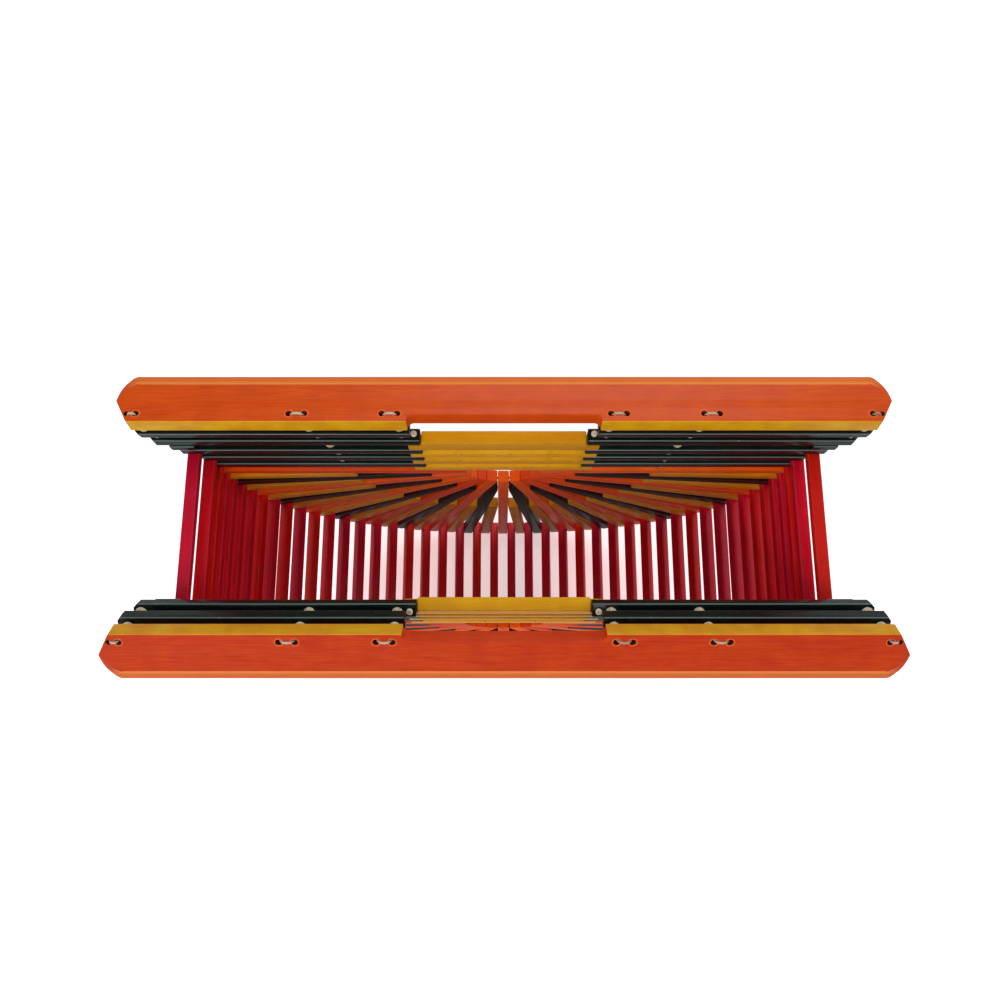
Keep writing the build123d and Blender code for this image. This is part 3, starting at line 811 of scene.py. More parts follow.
@dataclass
class Shop:
    """Turns lines and points into finished pieces and hands them to the frame."""

    sizes: BagSizes
    trees: Trees
    effects: Effects
    finishes: Finishes
    rounding: float = 0.00055       # of a stick's long edges
    tip_cut: float = 0.0018         # length of a pointed end
    tip_share: float = 0.5          # about how much of the depth is left near the point
    settle: float = 0.00008         # how far a stick may lie from its true line
    chance: random.Random = field(default_factory=lambda: random.Random(11))
    paints: dict[str, bpy.types.Material] = field(default_factory=dict)

    def paint(self, finish: Paint, depth: float, width: float) -> bpy.types.Material:
        """Return the material for sticks of one section, made the first time that it is asked for."""
        name = f"{finish.slot}_{round(depth * 1e4)}_{round(width * 1e4)}"
        if name not in self.paints:
            self.paints[name] = finish.material(name, depth, width, self.effects)
        return self.paints[name]

    def once(self, finish: Turned | Fibre) -> bpy.types.Material:
        """Return the material of the beads or the cords, made the first time that it is asked for."""
        if finish.slot not in self.paints:
            self.paints[finish.slot] = finish.material()
        return self.paints[finish.slot]

    def stations(self, length: float, depth: float, pointed: bool) -> list[tuple[float, float, float]]:
        """Work out where a stick's section changes.

        Args:
            length: The stick's length.
            depth: Its size from front to back.
            pointed: Whether its far end is cut to a point.

        Returns:
            Distance from the start, narrowing from front to back and flattening at each place.
        """
        soft = self.rounding
        share = 1 - 2 * soft / depth
        half = 1 - 0.6 * soft / depth
        places = [(0.0, share, share), (soft * 0.35, half, half), (soft, 1.0, 1.0)]
        if pointed:
            return places + [(length - self.tip_cut, 1.0, 1.0), (length - soft, self.tip_share + 0.1, 0.97),
                             (length, self.tip_share - 0.08, 0.86)]
        return places + [(length - far, narrow, flat) for far, narrow, flat in reversed(places)]

    def lay_lines(self, name: str, sticks: Sequence[Stick], place: Matrix, depth: float) -> bpy.types.Mesh:
        """Lay out the middle line of each stick, with what its section needs stored on the line."""
        points: list[Vector] = []
        edges: list[tuple[int, int]] = []
        labels = ("across", "above", "narrow", "flat", "along", "shade")
        stored: dict[str, list] = {label: [] for label in labels}
        turn = place.to_3x3()
        for stick in sticks:
            run = stick.end - stick.start
            along = run.normalized()
            above = along.cross(stick.across)
            drift = stick.across * self.chance.uniform(-self.settle, self.settle)
            shade = self.chance.random()
            for index, (far, narrow, flat) in enumerate(self.stations(run.length, depth, stick.pointed)):
                if index:
                    edges.append((len(points) - 1, len(points)))
                points.append(place @ (stick.start + along * far + drift))
                stored["across"].append(turn @ stick.across)
                stored["above"].append(turn @ above)
                stored["narrow"].append(narrow)
                stored["flat"].append(flat)
                stored["along"].append(far - run.length / 2)
                stored["shade"].append(shade)
        mesh = bpy.data.meshes.new(f"{name}_lines")
        mesh.from_pydata(points, edges, [])
        for label, values in stored.items():
            if label in ("across", "above"):
                slot = mesh.attributes.new(label, "FLOAT_VECTOR", "POINT")
                slot.data.foreach_set("vector", [part for value in values for part in value])
            else:
                mesh.attributes.new(label, "FLOAT", "POINT").data.foreach_set("value", values)
        return mesh

    @staticmethod
    def lay_points(name: str, spots: Sequence[tuple[Vector, Vector]], place: Matrix) -> bpy.types.Mesh:
        """Lay out points, each with the direction of the cord through it."""
        mesh = bpy.data.meshes.new(f"{name}_points")
        mesh.from_pydata([place @ spot for spot, _ in spots], [], [])
        turn = place.to_3x3()
        axis = mesh.attributes.new("axis", "FLOAT_VECTOR", "POINT")
        axis.data.foreach_set("vector", [part for _, way in spots for part in turn @ way])
        return mesh

    @staticmethod
    def lay_paths(name: str, paths: Sequence[Sequence[Vector]], place: Matrix) -> bpy.types.Mesh:
        """Lay out cords as chains of short straight edges."""
        points: list[Vector] = []
        edges: list[tuple[int, int]] = []
        for path in paths:
            first = len(points)
            points.extend(place @ spot for spot in path)
            edges.extend((index, index + 1) for index in range(first, len(points) - 1))
        mesh = bpy.data.meshes.new(f"{name}_paths")
        mesh.from_pydata(points, edges, [])
        return mesh

    def grown(self, name: str, base: bpy.types.Mesh, tree: bpy.types.NodeTree,
              inputs: dict[str, object]) -> bpy.types.Object:
        """Run a Geometry Nodes tree over a layout and keep the plain mesh that comes out.

        Args:
            name: The piece's name.
            base: The lines or points that the tree starts from.
            tree: The tree to run.
            inputs: The tree's named inputs.

        Returns:
            The piece, with no modifier left on it.
        """
        piece = bpy.data.objects.new(name, base)
        bpy.context.scene.collection.objects.link(piece)
        modifier = piece.modifiers.new(tree.name, "NODES")
        modifier.node_group = tree
        names = {item.name: item.identifier for item in tree.interface.items_tree
                 if item.item_type == "SOCKET" and item.in_out == "INPUT"}
        for label, value in inputs.items():
            modifier[names[label]] = value
        graph = bpy.context.evaluated_depsgraph_get()
        made = bpy.data.meshes.new_from_object(piece.evaluated_get(graph), depsgraph=graph)
        piece.modifiers.remove(modifier)
        piece.data = made
        bpy.data.meshes.remove(base)
        self.face_out(made)
        return piece

    @staticmethod
    def face_out(mesh: bpy.types.Mesh) -> None:
        """Turn every face outwards."""
        work = bmesh.new()
        work.from_mesh(mesh)
        bmesh.ops.recalc_face_normals(work, faces=work.faces)
        work.to_mesh(mesh)
        work.free()

    @staticmethod
    def joined(name: str, pieces: Sequence[bpy.types.Object]) -> bpy.types.Object:
        """Join pieces that ride together into one piece."""
        if len(pieces) > 1:
            with bpy.context.temp_override(active_object=pieces[0], selected_editable_objects=list(pieces)):
                bpy.ops.object.join()
        pieces[0].name = name
        return pieces[0]

    def sticks(self, node: str, sticks: Sequence[Stick], place: Matrix, body: str, finish: Paint,
               depth: float, width: float) -> None:
        """Make all the sticks of one CAD node and hand them over."""
        base = self.lay_lines(node, sticks, place, depth)
        material = self.paint(finish, depth, width)
        piece = self.grown(f"painted_{node}", base, self.trees.sticks, {
            "Depth": depth, "Width": width, "Rounding": self.rounding, "Paint": material})
        self.hand_over(piece, node, body, finish.slot)

    def beads(self, node: str, spots: Sequence[tuple[Vector, Vector]], place: Matrix, body: str) -> None:
        """String the beads of one CAD node and hand them over."""
        piece = self.grown(f"turned_{node}", self.lay_points(node, spots, place), self.trees.beads, {
            "Radius": self.sizes.spacer / 2, "Finish": self.once(self.finishes.bead)})
        self.hand_over(piece, node, body, self.finishes.bead.slot)

    def cords(self, node: str, paths: Sequence[Sequence[Vector]], knots: Sequence[Vector], place: Matrix,
              body: str, share: float = 1.0) -> None:
        """Twist the cords of one CAD node, tie its knots and hand them over.

        Args:
            node: The CAD node that the cords stand for.
            paths: The middle line of each cord, in the wall's own frame.
            knots: The place of each knot, in the wall's own frame.
            place: Where the wall's own frame lies.
            body: The body that the cords ride on.
            share: How thick the cords are pulled, as a share of a slack cord.
        """
        fibre = self.once(self.finishes.cord)
        piece = self.grown(f"twisted_{node}", self.lay_paths(node, paths, place), self.trees.cords, {
            "Radius": share * self.sizes.cord / 2, "Fibre": fibre})
        if knots:
            spots = [(knot, Vector((0, 0, 1))) for knot in knots]
            tied = self.grown(f"{node}_knots", self.lay_points(node, spots, place), self.trees.knots, {
                "Size": self.sizes.knot, "Fibre": fibre})
            piece = self.joined(piece.name, [piece, tied])
        self.hand_over(piece, node, body, self.finishes.cord.slot)

    @staticmethod
    def hand_over(piece: bpy.types.Object, node: str, body: str, slot: str) -> None:
        """Let a piece ride on its body and stand for a CAD node, which is hidden."""
        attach(piece, body)
        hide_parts(node)
        log.info("%s: %d faces, on %s", piece.name, len(piece.data.polygons), body)


# ------------------------------------------------------------------------------------ sub-assemblies
def point(x: float, z: float, y: float = 0.0) -> Vector:
    """Return a point in a wall's own frame from its distance sideways and its height."""
    return Vector((x, y, z))


@dataclass
class Fan:
    """The half wheel of ribs in one wall, with the cords that thread it."""

    wall: Wall
    shop: Shop
    arc_points: int = 90
    hub_stop: float = 0.0035        # how far the hub cord runs into the top centre slat

    def ribs(self, inner: float, steps: Iterable[int]) -> list[Stick]:
        """Lay out ribs from one inner radius to the rim, at the given steps from straight down."""
        sizes = self.shop.sizes
        sticks = []
        for step in steps:
            turn = step * sizes.rib_step
            way = point(math.sin(turn), -math.cos(turn))
            sticks.append(Stick(way * inner, way * sizes.rib_outer, Vector((0, 1, 0))))
        return sticks

    @staticmethod
    def upright(radius: float, top: float) -> list[tuple[float, float]]:
        """Return the leg of a cord that rises straight from the fan's level."""
        return [(radius, 0.0), (radius, top)]

    def loop(self, radius: float, leg: Sequence[tuple[float, float]]) -> list[Vector]:
        """Lay out a cord round the fan with the same leg up each side, from the fan's level to its top."""
        arc = [math.pi * index / self.arc_points for index in range(1, self.arc_points)]
        left = [point(-x, z) for x, z in reversed(leg)]
        right = [point(x, z) for x, z in leg]
        return left + [point(-radius * math.cos(turn), -radius * math.sin(turn)) for turn in arc] + right

    def build(self) -> None:
        """Make the ribs and their cords."""
        sizes, shop, finishes = self.shop.sizes, self.shop, self.shop.finishes
        side = sizes.steps_each_side
        place, body = self.wall.place(Course.FIXED), self.wall.body(Course.FIXED)
        kinds = (("long_ribs", sizes.hub_radius, range(-side, side + 1, 4), finishes.orange),
                 ("medium_ribs", sizes.medium_radius, range(-side + 2, side, 4), finishes.dark),
                 ("short_ribs", sizes.short_radius, range(-side + 1, side, 2), finishes.ochre))
        for name, radius, steps, paint in kinds:
            ribs = self.ribs(radius - sizes.end_margin, steps)
            shop.sticks(f"{self.wall.name}_{name}", ribs, place, body, paint, sizes.stick_depth,
                        sizes.stick_width)
        first = sizes.hinges[0]
        hub_top = sizes.top_centre - sizes.spacer / 2 + self.hub_stop
        legs = {
            "hub_cord": (sizes.hub_radius, self.upright(sizes.hub_radius, hub_top)),
            "medium_rib_cord": (sizes.medium_radius, self.upright(sizes.medium_radius, first)),
            "short_rib_cord": (sizes.short_radius, sizes.cord_line(CordLine.MID)[:3]),
            "outer_cord": (sizes.outer_radius, sizes.cord_line(CordLine.CORNER)[:3])}
        for name, (radius, leg) in legs.items():
            shop.cords(f"{self.wall.name}_{name}", [self.loop(radius, leg)], [], place, body)


@dataclass
class Stack:
    """The level courses on top of the fan: side slats, centre slats, beads and corner spacers."""

    wall: Wall
    shop: Shop
    centre_margin: float = 0.0037       # from the tie cord to the end of a centre slat
    tie_margin: float = 0.0030          # from the tie cord to the inner end of a side slat
    top_margin: float = 0.0046          # from the inner cord line to the inner end of a top side slat
    abutting: float = 0.0005            # between the top centre slat and the side slats beside it
    corner_length: float = 0.0130
    corner_reach: float = 0.01325       # from the outer cord's radius to the outer end of a corner spacer

    def side_slats(self, course: str) -> list[Stick]:
        """Lay out the two side slats of a course, pointed at their outer ends."""
        sizes = self.shop.sizes
        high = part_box(f"{self.wall.name}_{course}_side_slats")[1]
        inner = sizes.medium_radius - self.tie_margin
        if course == "top":
            inner = sizes.medium_radius + sizes.inner_spread - self.top_margin
        height = sizes.course_heights[course]
        return [Stick(point(side * inner, height), point(side * high.x, height), Vector((0, 1, 0)), True)
                for side in (1, -1)]

    def centre_slat(self, half: float, height: float) -> list[Stick]:
        """Lay out one slat across the middle."""
        return [Stick(point(-half, height), point(half, height), Vector((0, 1, 0)))]

    def build(self) -> None:
        """Make every fixed course of the wall."""
        sizes, shop, finishes = self.shop.sizes, self.shop, self.shop.finishes
        name, place = self.wall.name, self.wall.place(Course.FIXED)
        body = self.wall.body(Course.FIXED)
        for course in ("fifth", "fourth", "third"):
            shop.sticks(f"{name}_{course}_side_slats", self.side_slats(course), place, body, finishes.green,
                        sizes.stick_depth, sizes.stick_width)
        half = sizes.medium_radius + self.centre_margin
        gaps = [(index + 0.5) * sizes.pitch for index in range(3)]
        heights = dict(zip(("fifth", "fourth", "third"), gaps), second=sizes.upper_centre)
        for course, height in heights.items():
            shop.sticks(f"{name}_{course}_centre_slat", self.centre_slat(half, height), place, body,
                        finishes.yellow, sizes.stick_depth, sizes.spacer)
        top_half = sizes.medium_radius - self.tie_margin - self.abutting
        shop.sticks(f"{name}_top_centre_slat", self.centre_slat(top_half, sizes.top_centre), place, body,
                    finishes.yellow, sizes.stick_depth, sizes.spacer)
        seat = sizes.third_top + sizes.bead_gap / 2 + sizes.spacer / 2
        spots = [(point(side * sizes.line_x(CordLine.MID, height), height), Vector((0, 0, 1)))
                 for height in gaps + [seat] for side in (1, -1)]
        shop.beads(f"{name}_lower_beads", spots, place, body)
        outer = sizes.outer_radius + self.corner_reach
        corners = [Stick(point(side * (outer - self.corner_length), sizes.upper_centre),
                         point(side * outer, sizes.upper_centre), Vector((0, 1, 0))) for side in (1, -1)]
        shop.sticks(f"{name}_corner_spacers", corners, place, body, finishes.green, sizes.stick_depth,
                    sizes.spacer)


@dataclass
class Flap:
    """The two folding courses between the fan and the handle board, with their beads and cords."""

    wall: Wall
    shop: Shop
    stack: Stack
    recess: float = 0.0005      # how far a cord ends inside its bead
    lap: float = 0.0006         # how far a cord runs into its knot
    nearby: float = 0.001       # how far above and below a bead the lean of its cord is taken

    def beads(self, height: float) -> list[tuple[Vector, Vector]]:
        """Lay out the six beads of one row."""
        sizes = self.shop.sizes
        spots = []
        for line in (CordLine.INNER, CordLine.MID, CordLine.CORNER):
            lean = sizes.line_x(line, height + self.nearby) - sizes.line_x(line, height - self.nearby)
            for side in (1, -1):
                spots.append((point(side * sizes.line_x(line, height), height),
                              Vector((side * lean, 0, 2 * self.nearby)).normalized()))
        return spots

    def run(self, line: CordLine, low: float, high: float, side: int) -> list[Vector]:
        """Lay out a straight stretch of one cord line."""
        sizes = self.shop.sizes
        return [point(side * sizes.line_x(line, height), height) for height in (low, high)]

    def build(self) -> None:
        """Make both folding courses."""
        sizes, shop, finishes = self.shop.sizes, self.shop, self.shop.finishes
        name, (first, second, third) = self.wall.name, sizes.hinges
        bead = sizes.spacer / 2
        for course, row in ((Course.SECOND, "second"), (Course.TOP, "top")):
            shop.sticks(f"{name}_{row}_side_slats", self.stack.side_slats(row), self.wall.place(course),
                        self.wall.body(course), finishes.green, sizes.stick_depth, sizes.stick_width)
        place, body = self.wall.place(Course.SECOND), self.wall.body(Course.SECOND)
        shop.beads(f"{name}_second_beads", self.beads(second), place, body)
        low, high = first + sizes.hinge_rise, first + sizes.hinge_rise + sizes.stick_width
        end = second + bead - self.recess
        paths, knots = [], []
        for side in (1, -1):
            paths += [self.run(line, first, end, side) for line in (CordLine.MID, CordLine.CORNER)]
            paths.append(self.run(CordLine.TIE, first, high + self.lap, side))
            paths.append(self.run(CordLine.INNER, low - self.lap, end, side))
            knots.append(point(side * sizes.line_x(CordLine.TIE, high), high + sizes.knot / 2))
            knots.append(point(side * sizes.line_x(CordLine.INNER, low), low - sizes.knot / 2))
        shop.cords(f"{name}_second_cords", paths, knots, place, body)
        place, body = self.wall.place(Course.TOP), self.wall.body(Course.TOP)
        shop.beads(f"{name}_top_beads", self.beads(third), place, body)
        low = second + bead + sizes.bead_gap + self.recess
        paths = [self.run(line, low, third + bead - self.recess, side)
                 for line in (CordLine.INNER, CordLine.MID, CordLine.CORNER) for side in (1, -1)]
        shop.cords(f"{name}_top_cords", paths, [], place, body)


class EdgePoint(NamedTuple):
    """One point of a board's edge, with its share of the bevel and of the second colour."""

    x: float
    y: float
    bevel: float = 0.0
    paint: float = 0.0


@dataclass
class HandleBoard:
    """The board that a hand takes hold of, with its hand hole, bevel, stitch holes and stitches."""

    wall: Wall
    shop: Shop
    width: float = 0.0282
    tip_width: float = 0.0120           # from the inner edge to the tips
    hole_inset: float = 0.0046          # from the inner edge to the line of the stitch holes
    tip_reach: float = 0.0107           # how far the tips reach beyond the corner cord line
    inner_reach: float = 0.0040         # how far the inner edge does
    outer_reach: float = 0.0030         # how far the outer edge does, before it rounds
    bevel_face: float = 0.0068          # the bevel, measured across the board's face
    bevel_edge: float = 0.0032          # the bevel, measured down its edge
    hand_margin: float = 0.0046         # from the hand hole to the inner cord line
    hand_depth: float = 0.0040
    hand_radius: float = 0.0032
    nick: float = 0.0003                # the small cut across each corner of the inner edge
    softness: float = 0.0005            # rounding of the plain edges
    crease: float = math.radians(12)    # edges sharper than this stay crisp
    stitch_span: float = 0.0074
    corner_span: float = 0.0044
    stitch_share: float = 0.76          # how thick a tight stitch is beside a slack cord
    stitch_steps: int = 8               # straight pieces in half a stitch
    stand: float = 0.45                 # how far a stitch stands over the face, in cord radii
    dive: float = 4.2                   # how far it dives at its ends, in cord radii
    tuck: float = 0.0005                # from the start of a stitch to the board's underside
    lap: float = 0.0006                 # how far a stitch runs into its knot
    stain: float = 0.0013               # how wide the paint is stained round a hole
    tight: float = 0.3                  # share of the stain beside the board's end
    mouth: float = 0.0014               # depth of the widened mouth of a hole
    lift: float = 0.00018               # how far the paint is lifted round a hole
    ridge_light: tuple[float, ...] = (0.0, 1.0, 0.7)  # painted highlight on the bevel, as a share: face, ridge line, bevel band
    hole_points: int = 32
    arc_steps: int = 14

    @property
    def lines(self) -> dict[CordLine, float]:
        """Distance of each cord line from the middle where it reaches the board."""
        sizes = self.shop.sizes
        return {line: sizes.line_x(line, sizes.board_bottom)
                for line in (CordLine.INNER, CordLine.MID, CordLine.CORNER)}

    @property
    def stitches(self) -> list[tuple[float, float]]:
        """Inner and outer hole of each stitch on the right side."""
        spans = {CordLine.CORNER: self.corner_span}
        return [(x, x + spans.get(line, self.stitch_span)) for line, x in self.lines.items()]

    def half_outline(self) -> list[EdgePoint]:
        """Lay out the right half of the edge, from the hand hole round the end to the outer middle."""
        inner, tip, outer = self.hole_inset, self.hole_inset - self.tip_width, self.hole_inset - self.width
        recess = inner - self.hand_depth
        corner = self.lines[CordLine.CORNER]
        hand = self.lines[CordLine.INNER] - self.hand_margin
        points = [EdgePoint(hand * part, recess) for part in (0.0, 0.3, 0.6)]
        for step in range(self.arc_steps + 1):
            turn = math.pi / 2 * step / self.arc_steps
            points.append(EdgePoint(hand - self.hand_radius * (1 - math.sin(turn)),
                                    recess + self.hand_radius * (1 - math.cos(turn))))
        points.append(EdgePoint(hand, inner - self.nick, paint=0.4))
        points.append(EdgePoint(hand + self.nick, inner, paint=1.0))
        far = corner + self.inner_reach
        points += [EdgePoint(hand + (far - hand) * part, inner, paint=1.0)
                   for part in (0.02, 0.25, 0.5, 0.75, 0.98)]
        points.append(EdgePoint(far, inner - self.nick * 2 / 3, paint=0.5))
        end = corner + self.tip_reach
        points += [EdgePoint(far + (end - far) * part, inner + (tip - inner) * part)
                   for part in (0.1, 0.4, 0.7, 0.9)]
        start = corner + self.outer_reach
        for step in range(2 * self.arc_steps + 1):
            part = step / (2 * self.arc_steps)
            turn = math.pi / 2 * part
            x = start + (end - start) * math.cos(turn)
            y = tip + (outer - tip) * math.sin(turn)
            points.append(EdgePoint(x, y, bevel=min(1.0, 1.7 * part)))
        points += [EdgePoint(start * part, outer, bevel=1.0) for part in (0.75, 0.5, 0.25, 0.0)]
        return points

    def outline(self) -> list[EdgePoint]:
        """Lay out the whole edge, anticlockwise seen from above."""
        half = self.half_outline()
        mirrored = [spot._replace(x=-spot.x) for spot in reversed(half[1:-1])]
        return list(reversed(half + mirrored))

    def edge_profile(self, bevel: float) -> list[tuple[float, float]]:
        """Work out how far in and how far up the edge runs, from the underside to half height."""
        soft = self.softness
        turns = [math.pi / 8 * step for step in range(5)]
        plain = [(soft * (1 - math.sin(turn)), soft * (1 - math.cos(turn))) for turn in turns]
        face, edge = self.bevel_face, self.bevel_edge
        cut = [(face + soft * 0.6, 0.0), (face - soft * 0.6, soft * 0.3), (face * 0.5, edge * 0.5),
               (soft * 0.5, edge * 0.9), (0.0, edge + soft * 0.6)]
        return [(a + (c - a) * bevel, b + (d - b) * bevel) for (a, b), (c, d) in zip(plain, cut)]

    @staticmethod
    def inward(points: Sequence[EdgePoint]) -> list[Vector]:
        """Work out the direction into the board at each point of the edge."""
        ways = []
        for index in range(len(points)):
            before, after = points[index - 1], points[(index + 1) % len(points)]
            along = Vector((after.x - before.x, after.y - before.y)).normalized()
            ways.append(Vector((-along.y, along.x)))
        return ways

    def mesh(self) -> bpy.types.Mesh:
        """Build the board in its wall's own frame, with what its finish reads stored on it."""
        sizes = self.shop.sizes
        bottom, thick = sizes.board_bottom, sizes.board_thickness
        points = self.outline()
        ways = self.inward(points)
        profiles = [self.edge_profile(spot.bevel) for spot in points]
        count = len(profiles[0])
        verts: list[Vector] = []
        faces: list[tuple[int, ...]] = []
        marks: dict[str, list[float]] = {"hole": [], "edge_paint": [], "ridge_highlight": []}
        levels = [(step, False) for step in range(count)] + [(step, True) for step in reversed(range(count))]
        rings = []
        for step, upper in levels:
            ring = []
            for spot, way, profile in zip(points, ways, profiles):
                inset, rise = profile[step]
                height = thick - rise if upper else rise
                ring.append(len(verts))
                verts.append(Vector((spot.x + way.x * inset, spot.y + way.y * inset, bottom + height)))
                marks["hole"].append(0.0)
                marks["edge_paint"].append(spot.paint if step else 0.0)
                # Ridge mark: a painted highlight line along the bevel and a lighter painted bevel band.
                marks["ridge_highlight"].append(spot.bevel * self.ridge_light[min(step, len(self.ridge_light) - 1)])
            rings.append(ring)
        for low, high in zip(rings, rings[1:]):
            for index in range(len(low)):
                after = (index + 1) % len(low)
                faces.append((low[index], low[after], high[after], high[index]))
        centres = [side * x for pair in self.stitches for x in pair for side in (1, -1)]
        bores = [self._bore(x, verts, faces, marks) for x in centres]
        for loops, upward in (([rings[0]] + [bore[0] for bore in bores], False),
                              ([rings[-1]] + [bore[1] for bore in bores], True)):
            numbers = [number for loop in loops for number in loop]
            flat_loops = [[verts[number].xy.to_3d() for number in loop] for loop in loops]
            for a, b, c in tessellate_polygon(flat_loops):
                face = (numbers[a], numbers[b], numbers[c])
                faces.append(face if upward else face[::-1])
        made = bpy.data.meshes.new("board")
        made.from_pydata(verts, [], faces)
        self._store(made, verts, marks, bottom + thick / 2)
        return made

    def _bore(self, x: float, verts: list[Vector], faces: list[tuple[int, ...]],
              marks: dict[str, list[float]]) -> tuple[list[int], list[int]]:
        """Add one stitch hole through the board, with its lifted paint round the top and a painted highlight
        on that rim.

        Args:
            x: The hole's place along the board.
            verts: The board's points, added to.
            faces: The board's faces, added to.
            marks: The marks that each point carries, added to.

        Returns:
            The loops that the underside and the top face run up to.
        """
        sizes = self.shop.sizes
        radius, bottom, thick = sizes.hole / 2, sizes.board_bottom, sizes.board_thickness
        deep = self.mouth
        stain = self.stain
        if abs(x) > self.lines[CordLine.CORNER] + self.corner_span / 2:
            stain *= self.tight
        # The third number marks painted shade inside the bore and a dark stain round its mouths.
        under = [(radius + stain, 0.0, 0.0, 0.0), (radius + 0.3 * stain, 0.0, 0.8, 0.0)]
        inside = [(radius, deep, 1.0, 0.0), (radius, thick - deep, 1.0, 0.0)]
        # On the lifted rim the last number is the ridge mark: a painted highlight.
        over = [(radius + 0.2 * stain, thick, 0.8, 0.0), (radius + 0.6 * stain, thick + self.lift, 0.1, 1.0),
                (radius + stain, thick, 0.0, 0.0)]
        loops = []
        for reach, height, soil_and_shade, ridge_highlight in under + inside + over:
            loop = []
            for index in range(self.hole_points):
                turn = math.tau * index / self.hole_points
                loop.append(len(verts))
                verts.append(Vector((x + reach * math.cos(turn), reach * math.sin(turn), bottom + height)))
                marks["hole"].append(soil_and_shade)
                marks["edge_paint"].append(0.0)
                marks["ridge_highlight"].append(ridge_highlight)
            loops.append(loop)
        for low, high in zip(loops, loops[1:]):
            for index in range(self.hole_points):
                after = (index + 1) % self.hole_points
                faces.append((low[index], high[index], high[after], low[after]))
        return loops[0], loops[-1]

    def _store(self, mesh: bpy.types.Mesh, verts: Sequence[Vector], marks: dict[str, list[float]],
               middle: float) -> None:
        """Store the grain and the marks that the finish reads on the board's points."""
        centre = self.hole_inset - self.width / 2
        grain = mesh.attributes.new("grain", "FLOAT_VECTOR", "POINT")
        grain.data.foreach_set("vector", [part for vert in verts
                                          for part in (vert.x, vert.y - centre, vert.z - middle)])
        shade = self.shop.chance.random()
        for label, values in {**marks, "shade": [shade] * len(verts)}.items():
            mesh.attributes.new(label, "FLOAT", "POINT").data.foreach_set("value", values)

    def stitch_path(self, side: int, inner: float, outer: float) -> list[Vector]:
        """Lay out a stitch: up one hole, across the face and down the other."""
        sizes = self.shop.sizes
        radius, bottom = sizes.cord / 2, sizes.board_bottom
        path = [point(side * inner, bottom + self.tuck)]
        middle, half = (inner + outer) / 2, (outer - inner) / 2
        for step in range(-self.stitch_steps, self.stitch_steps + 1):
            part = step / self.stitch_steps
            rise = radius * self.stand - self.dive * radius * abs(part) ** 3
            path.append(point(side * (middle + half * part), bottom + sizes.board_thickness + rise))
        path.append(point(side * outer, bottom - self.lap))
        return path

    def build(self) -> None:
        """Make the board and its stitches."""
        shop, sizes, finishes = self.shop, self.shop.sizes, self.shop.finishes
        place, body = self.wall.place(Course.BOARD), self.wall.body(Course.BOARD)
        node = f"{self.wall.name}_handle_board"
        mesh = self.mesh()
        mesh.transform(place)
        shop.face_out(mesh)
        mesh.shade_smooth()
        mesh.set_sharp_from_angle(angle=self.crease)
        board = finishes.board
        mesh.materials.append(board.material(f"{node}_paint", self.width, sizes.board_thickness, shop.effects,
                                             finishes.board_edge))
        piece = bpy.data.objects.new(f"painted_{node}", mesh)
        bpy.context.scene.collection.objects.link(piece)
        shop.hand_over(piece, node, body, board.slot)
        paths, knots = [], []
        for side in (1, -1):
            for inner, outer in self.stitches:
                paths.append(self.stitch_path(side, inner, outer))
                knots.append(point(side * outer, sizes.board_bottom - sizes.knot / 2))
        shop.cords(f"{self.wall.name}_board_stitches", paths, knots, place, body, self.stitch_share)


@dataclass
class CurvedWall:
    """The red slats that run from wall to wall round the rim and up both ends."""

    shop: Shop

    def build(self) -> None:
        """Make the slats of the curved wall and of both upper ends."""
        sizes, shop = self.shop.sizes, self.shop
        low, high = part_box("curved_wall_slats")
        place = Matrix.Translation((0, (low.y + high.y) / 2, sizes.rib_outer))
        half = Vector((0, (high.y - low.y) / 2, 0))
        side = sizes.steps_each_side
        curved = []
        for step in range(-side, side):
            turn = (step + 0.5) * sizes.rib_step
            way = point(math.sin(turn), -math.cos(turn))
            middle = way * sizes.outer_radius
            curved.append(Stick(middle - half, middle + half, way))
        upper = []
        for height in ((index + 0.5) * sizes.pitch for index in range(3)):
            for hand in (1, -1):
                middle = point(hand * sizes.line_x(CordLine.CORNER, height), height)
                upper.append(Stick(middle - half, middle + half, Vector((1, 0, 0))))
        for node, sticks in (("curved_wall_slats", curved), ("upper_end_slats", upper)):
            shop.sticks(node, sticks, place, Course.FIXED.value, shop.finishes.red, sizes.cross_radial,
                        sizes.spacer)


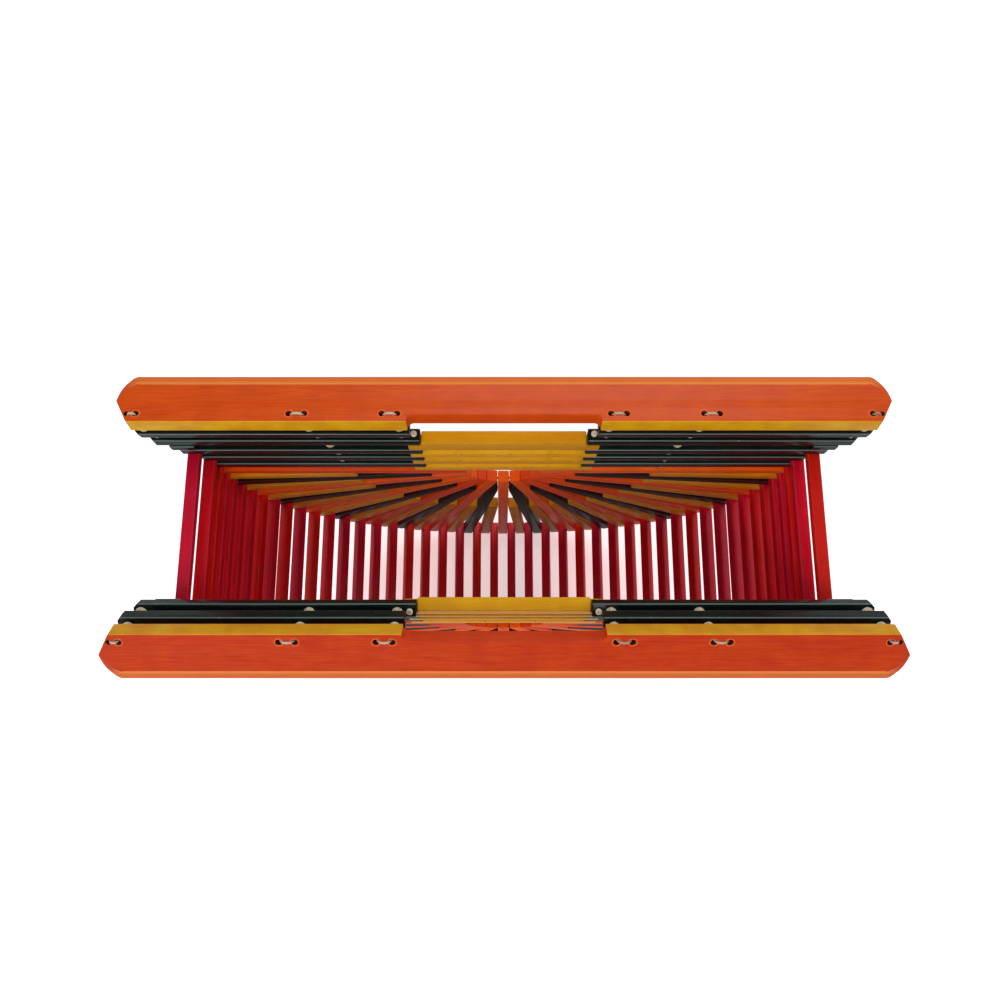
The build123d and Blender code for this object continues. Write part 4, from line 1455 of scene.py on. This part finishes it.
# ------------------------------------------------------------------------------------ studio
@dataclass
class Studio:
    """Pale floor, soft lights and the camera, looking down into the open bag."""

    camera_place: tuple[float, float, float] = (-0.0020, -0.1011, 0.6694)
    camera_pitch: float = math.radians(14.385)      # from straight down
    lens: float = 33.6                              # millimetres, on film 36 mm wide
    floor_half: float = 4.0
    front_power: float = 9.0                        # watts
    back_power: float = 8.0
    side_power: float = 2.5
    sky: float = 0.36
    floor_glow: float = 0.5

    def floor(self) -> None:
        """Lay the pale floor."""
        half = self.floor_half
        mesh = bpy.data.meshes.new("studio_floor")
        mesh.from_pydata([(-half, -half, 0), (half, -half, 0), (half, half, 0), (-half, half, 0)], [],
                         [(0, 1, 2, 3)])
        material = bpy.data.materials.new("pale_floor")
        material.use_nodes = True
        shader = material.node_tree.nodes["Principled BSDF"]
        shader.inputs["Base Color"].default_value = (0.93, 0.93, 0.93, 1.0)
        shader.inputs["Roughness"].default_value = 0.9
        shader.inputs["Specular IOR Level"].default_value = 0.1
        shader.inputs["Emission Color"].default_value = (1.0, 1.0, 1.0, 1.0)
        shader.inputs["Emission Strength"].default_value = self.floor_glow
        mesh.materials.append(material)
        floor = bpy.data.objects.new("studio_floor", mesh)
        floor.visible_glossy = False
        bpy.context.scene.collection.objects.link(floor)

    @staticmethod
    def softbox(name: str, place: tuple[float, float, float], size: float, power: float,
                target: Vector = Vector((0, 0, 0.12))) -> None:
        """Hang one square soft light, aimed at the bag."""
        light = bpy.data.lights.new(name, "AREA")
        light.shape = "SQUARE"
        light.size = size
        light.energy = power
        lamp = bpy.data.objects.new(name, light)
        lamp.location = place
        lamp.rotation_euler = (target - Vector(place)).to_track_quat("-Z", "Y").to_euler()
        bpy.context.scene.collection.objects.link(lamp)

    def world(self) -> None:
        """Surround the bag with even white light."""
        world = bpy.data.worlds.new("white_room")
        world.use_nodes = True
        background = world.node_tree.nodes["Background"]
        background.inputs["Color"].default_value = (1.0, 1.0, 1.0, 1.0)
        background.inputs["Strength"].default_value = self.sky
        bpy.context.scene.world = world

    def camera(self) -> None:
        """Set the camera above the front flap, looking down and back into the bag."""
        camera = bpy.data.cameras.new("above")
        camera.lens = self.lens
        camera.sensor_width = 36.0
        camera.clip_start = 0.01
        view = bpy.data.objects.new("above", camera)
        view.location = self.camera_place
        view.rotation_euler = (self.camera_pitch, 0.0, 0.0)
        bpy.context.scene.collection.objects.link(view)
        bpy.context.scene.camera = view

    def build(self) -> None:
        """Set up everything round the bag."""
        self.floor()
        self.softbox("front", (-0.3, -0.9, 1.3), 0.7, self.front_power)
        self.softbox("back", (0.2, 1.2, 1.0), 0.7, self.back_power)
        self.softbox("front_left", (-0.9, -1.1, 0.9), 0.9, self.side_power)
        self.softbox("right", (1.2, 0.2, 0.7), 0.8, self.side_power)
        self.world()
        self.camera()
        bpy.context.scene.view_settings.view_transform = "Standard"


def main() -> None:
    """Build the bag's looks, wall by wall, and report each piece."""
    logging.basicConfig(level=logging.INFO, format="%(message)s")
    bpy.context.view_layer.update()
    sizes = BagSizes()
    shop = Shop(sizes, Trees(), Effects(), Finishes())
    walls = (Wall("front", 0.0, sizes.front_tilts, sizes), Wall("back", math.pi, sizes.back_tilts, sizes))
    Studio().build()
    CurvedWall(shop).build()
    for wall in walls:
        stack = Stack(wall, shop)
        Fan(wall, shop).build()
        stack.build()
        Flap(wall, shop, stack).build()
        HandleBoard(wall, shop).build()


if __name__ == "__main__":
    main()
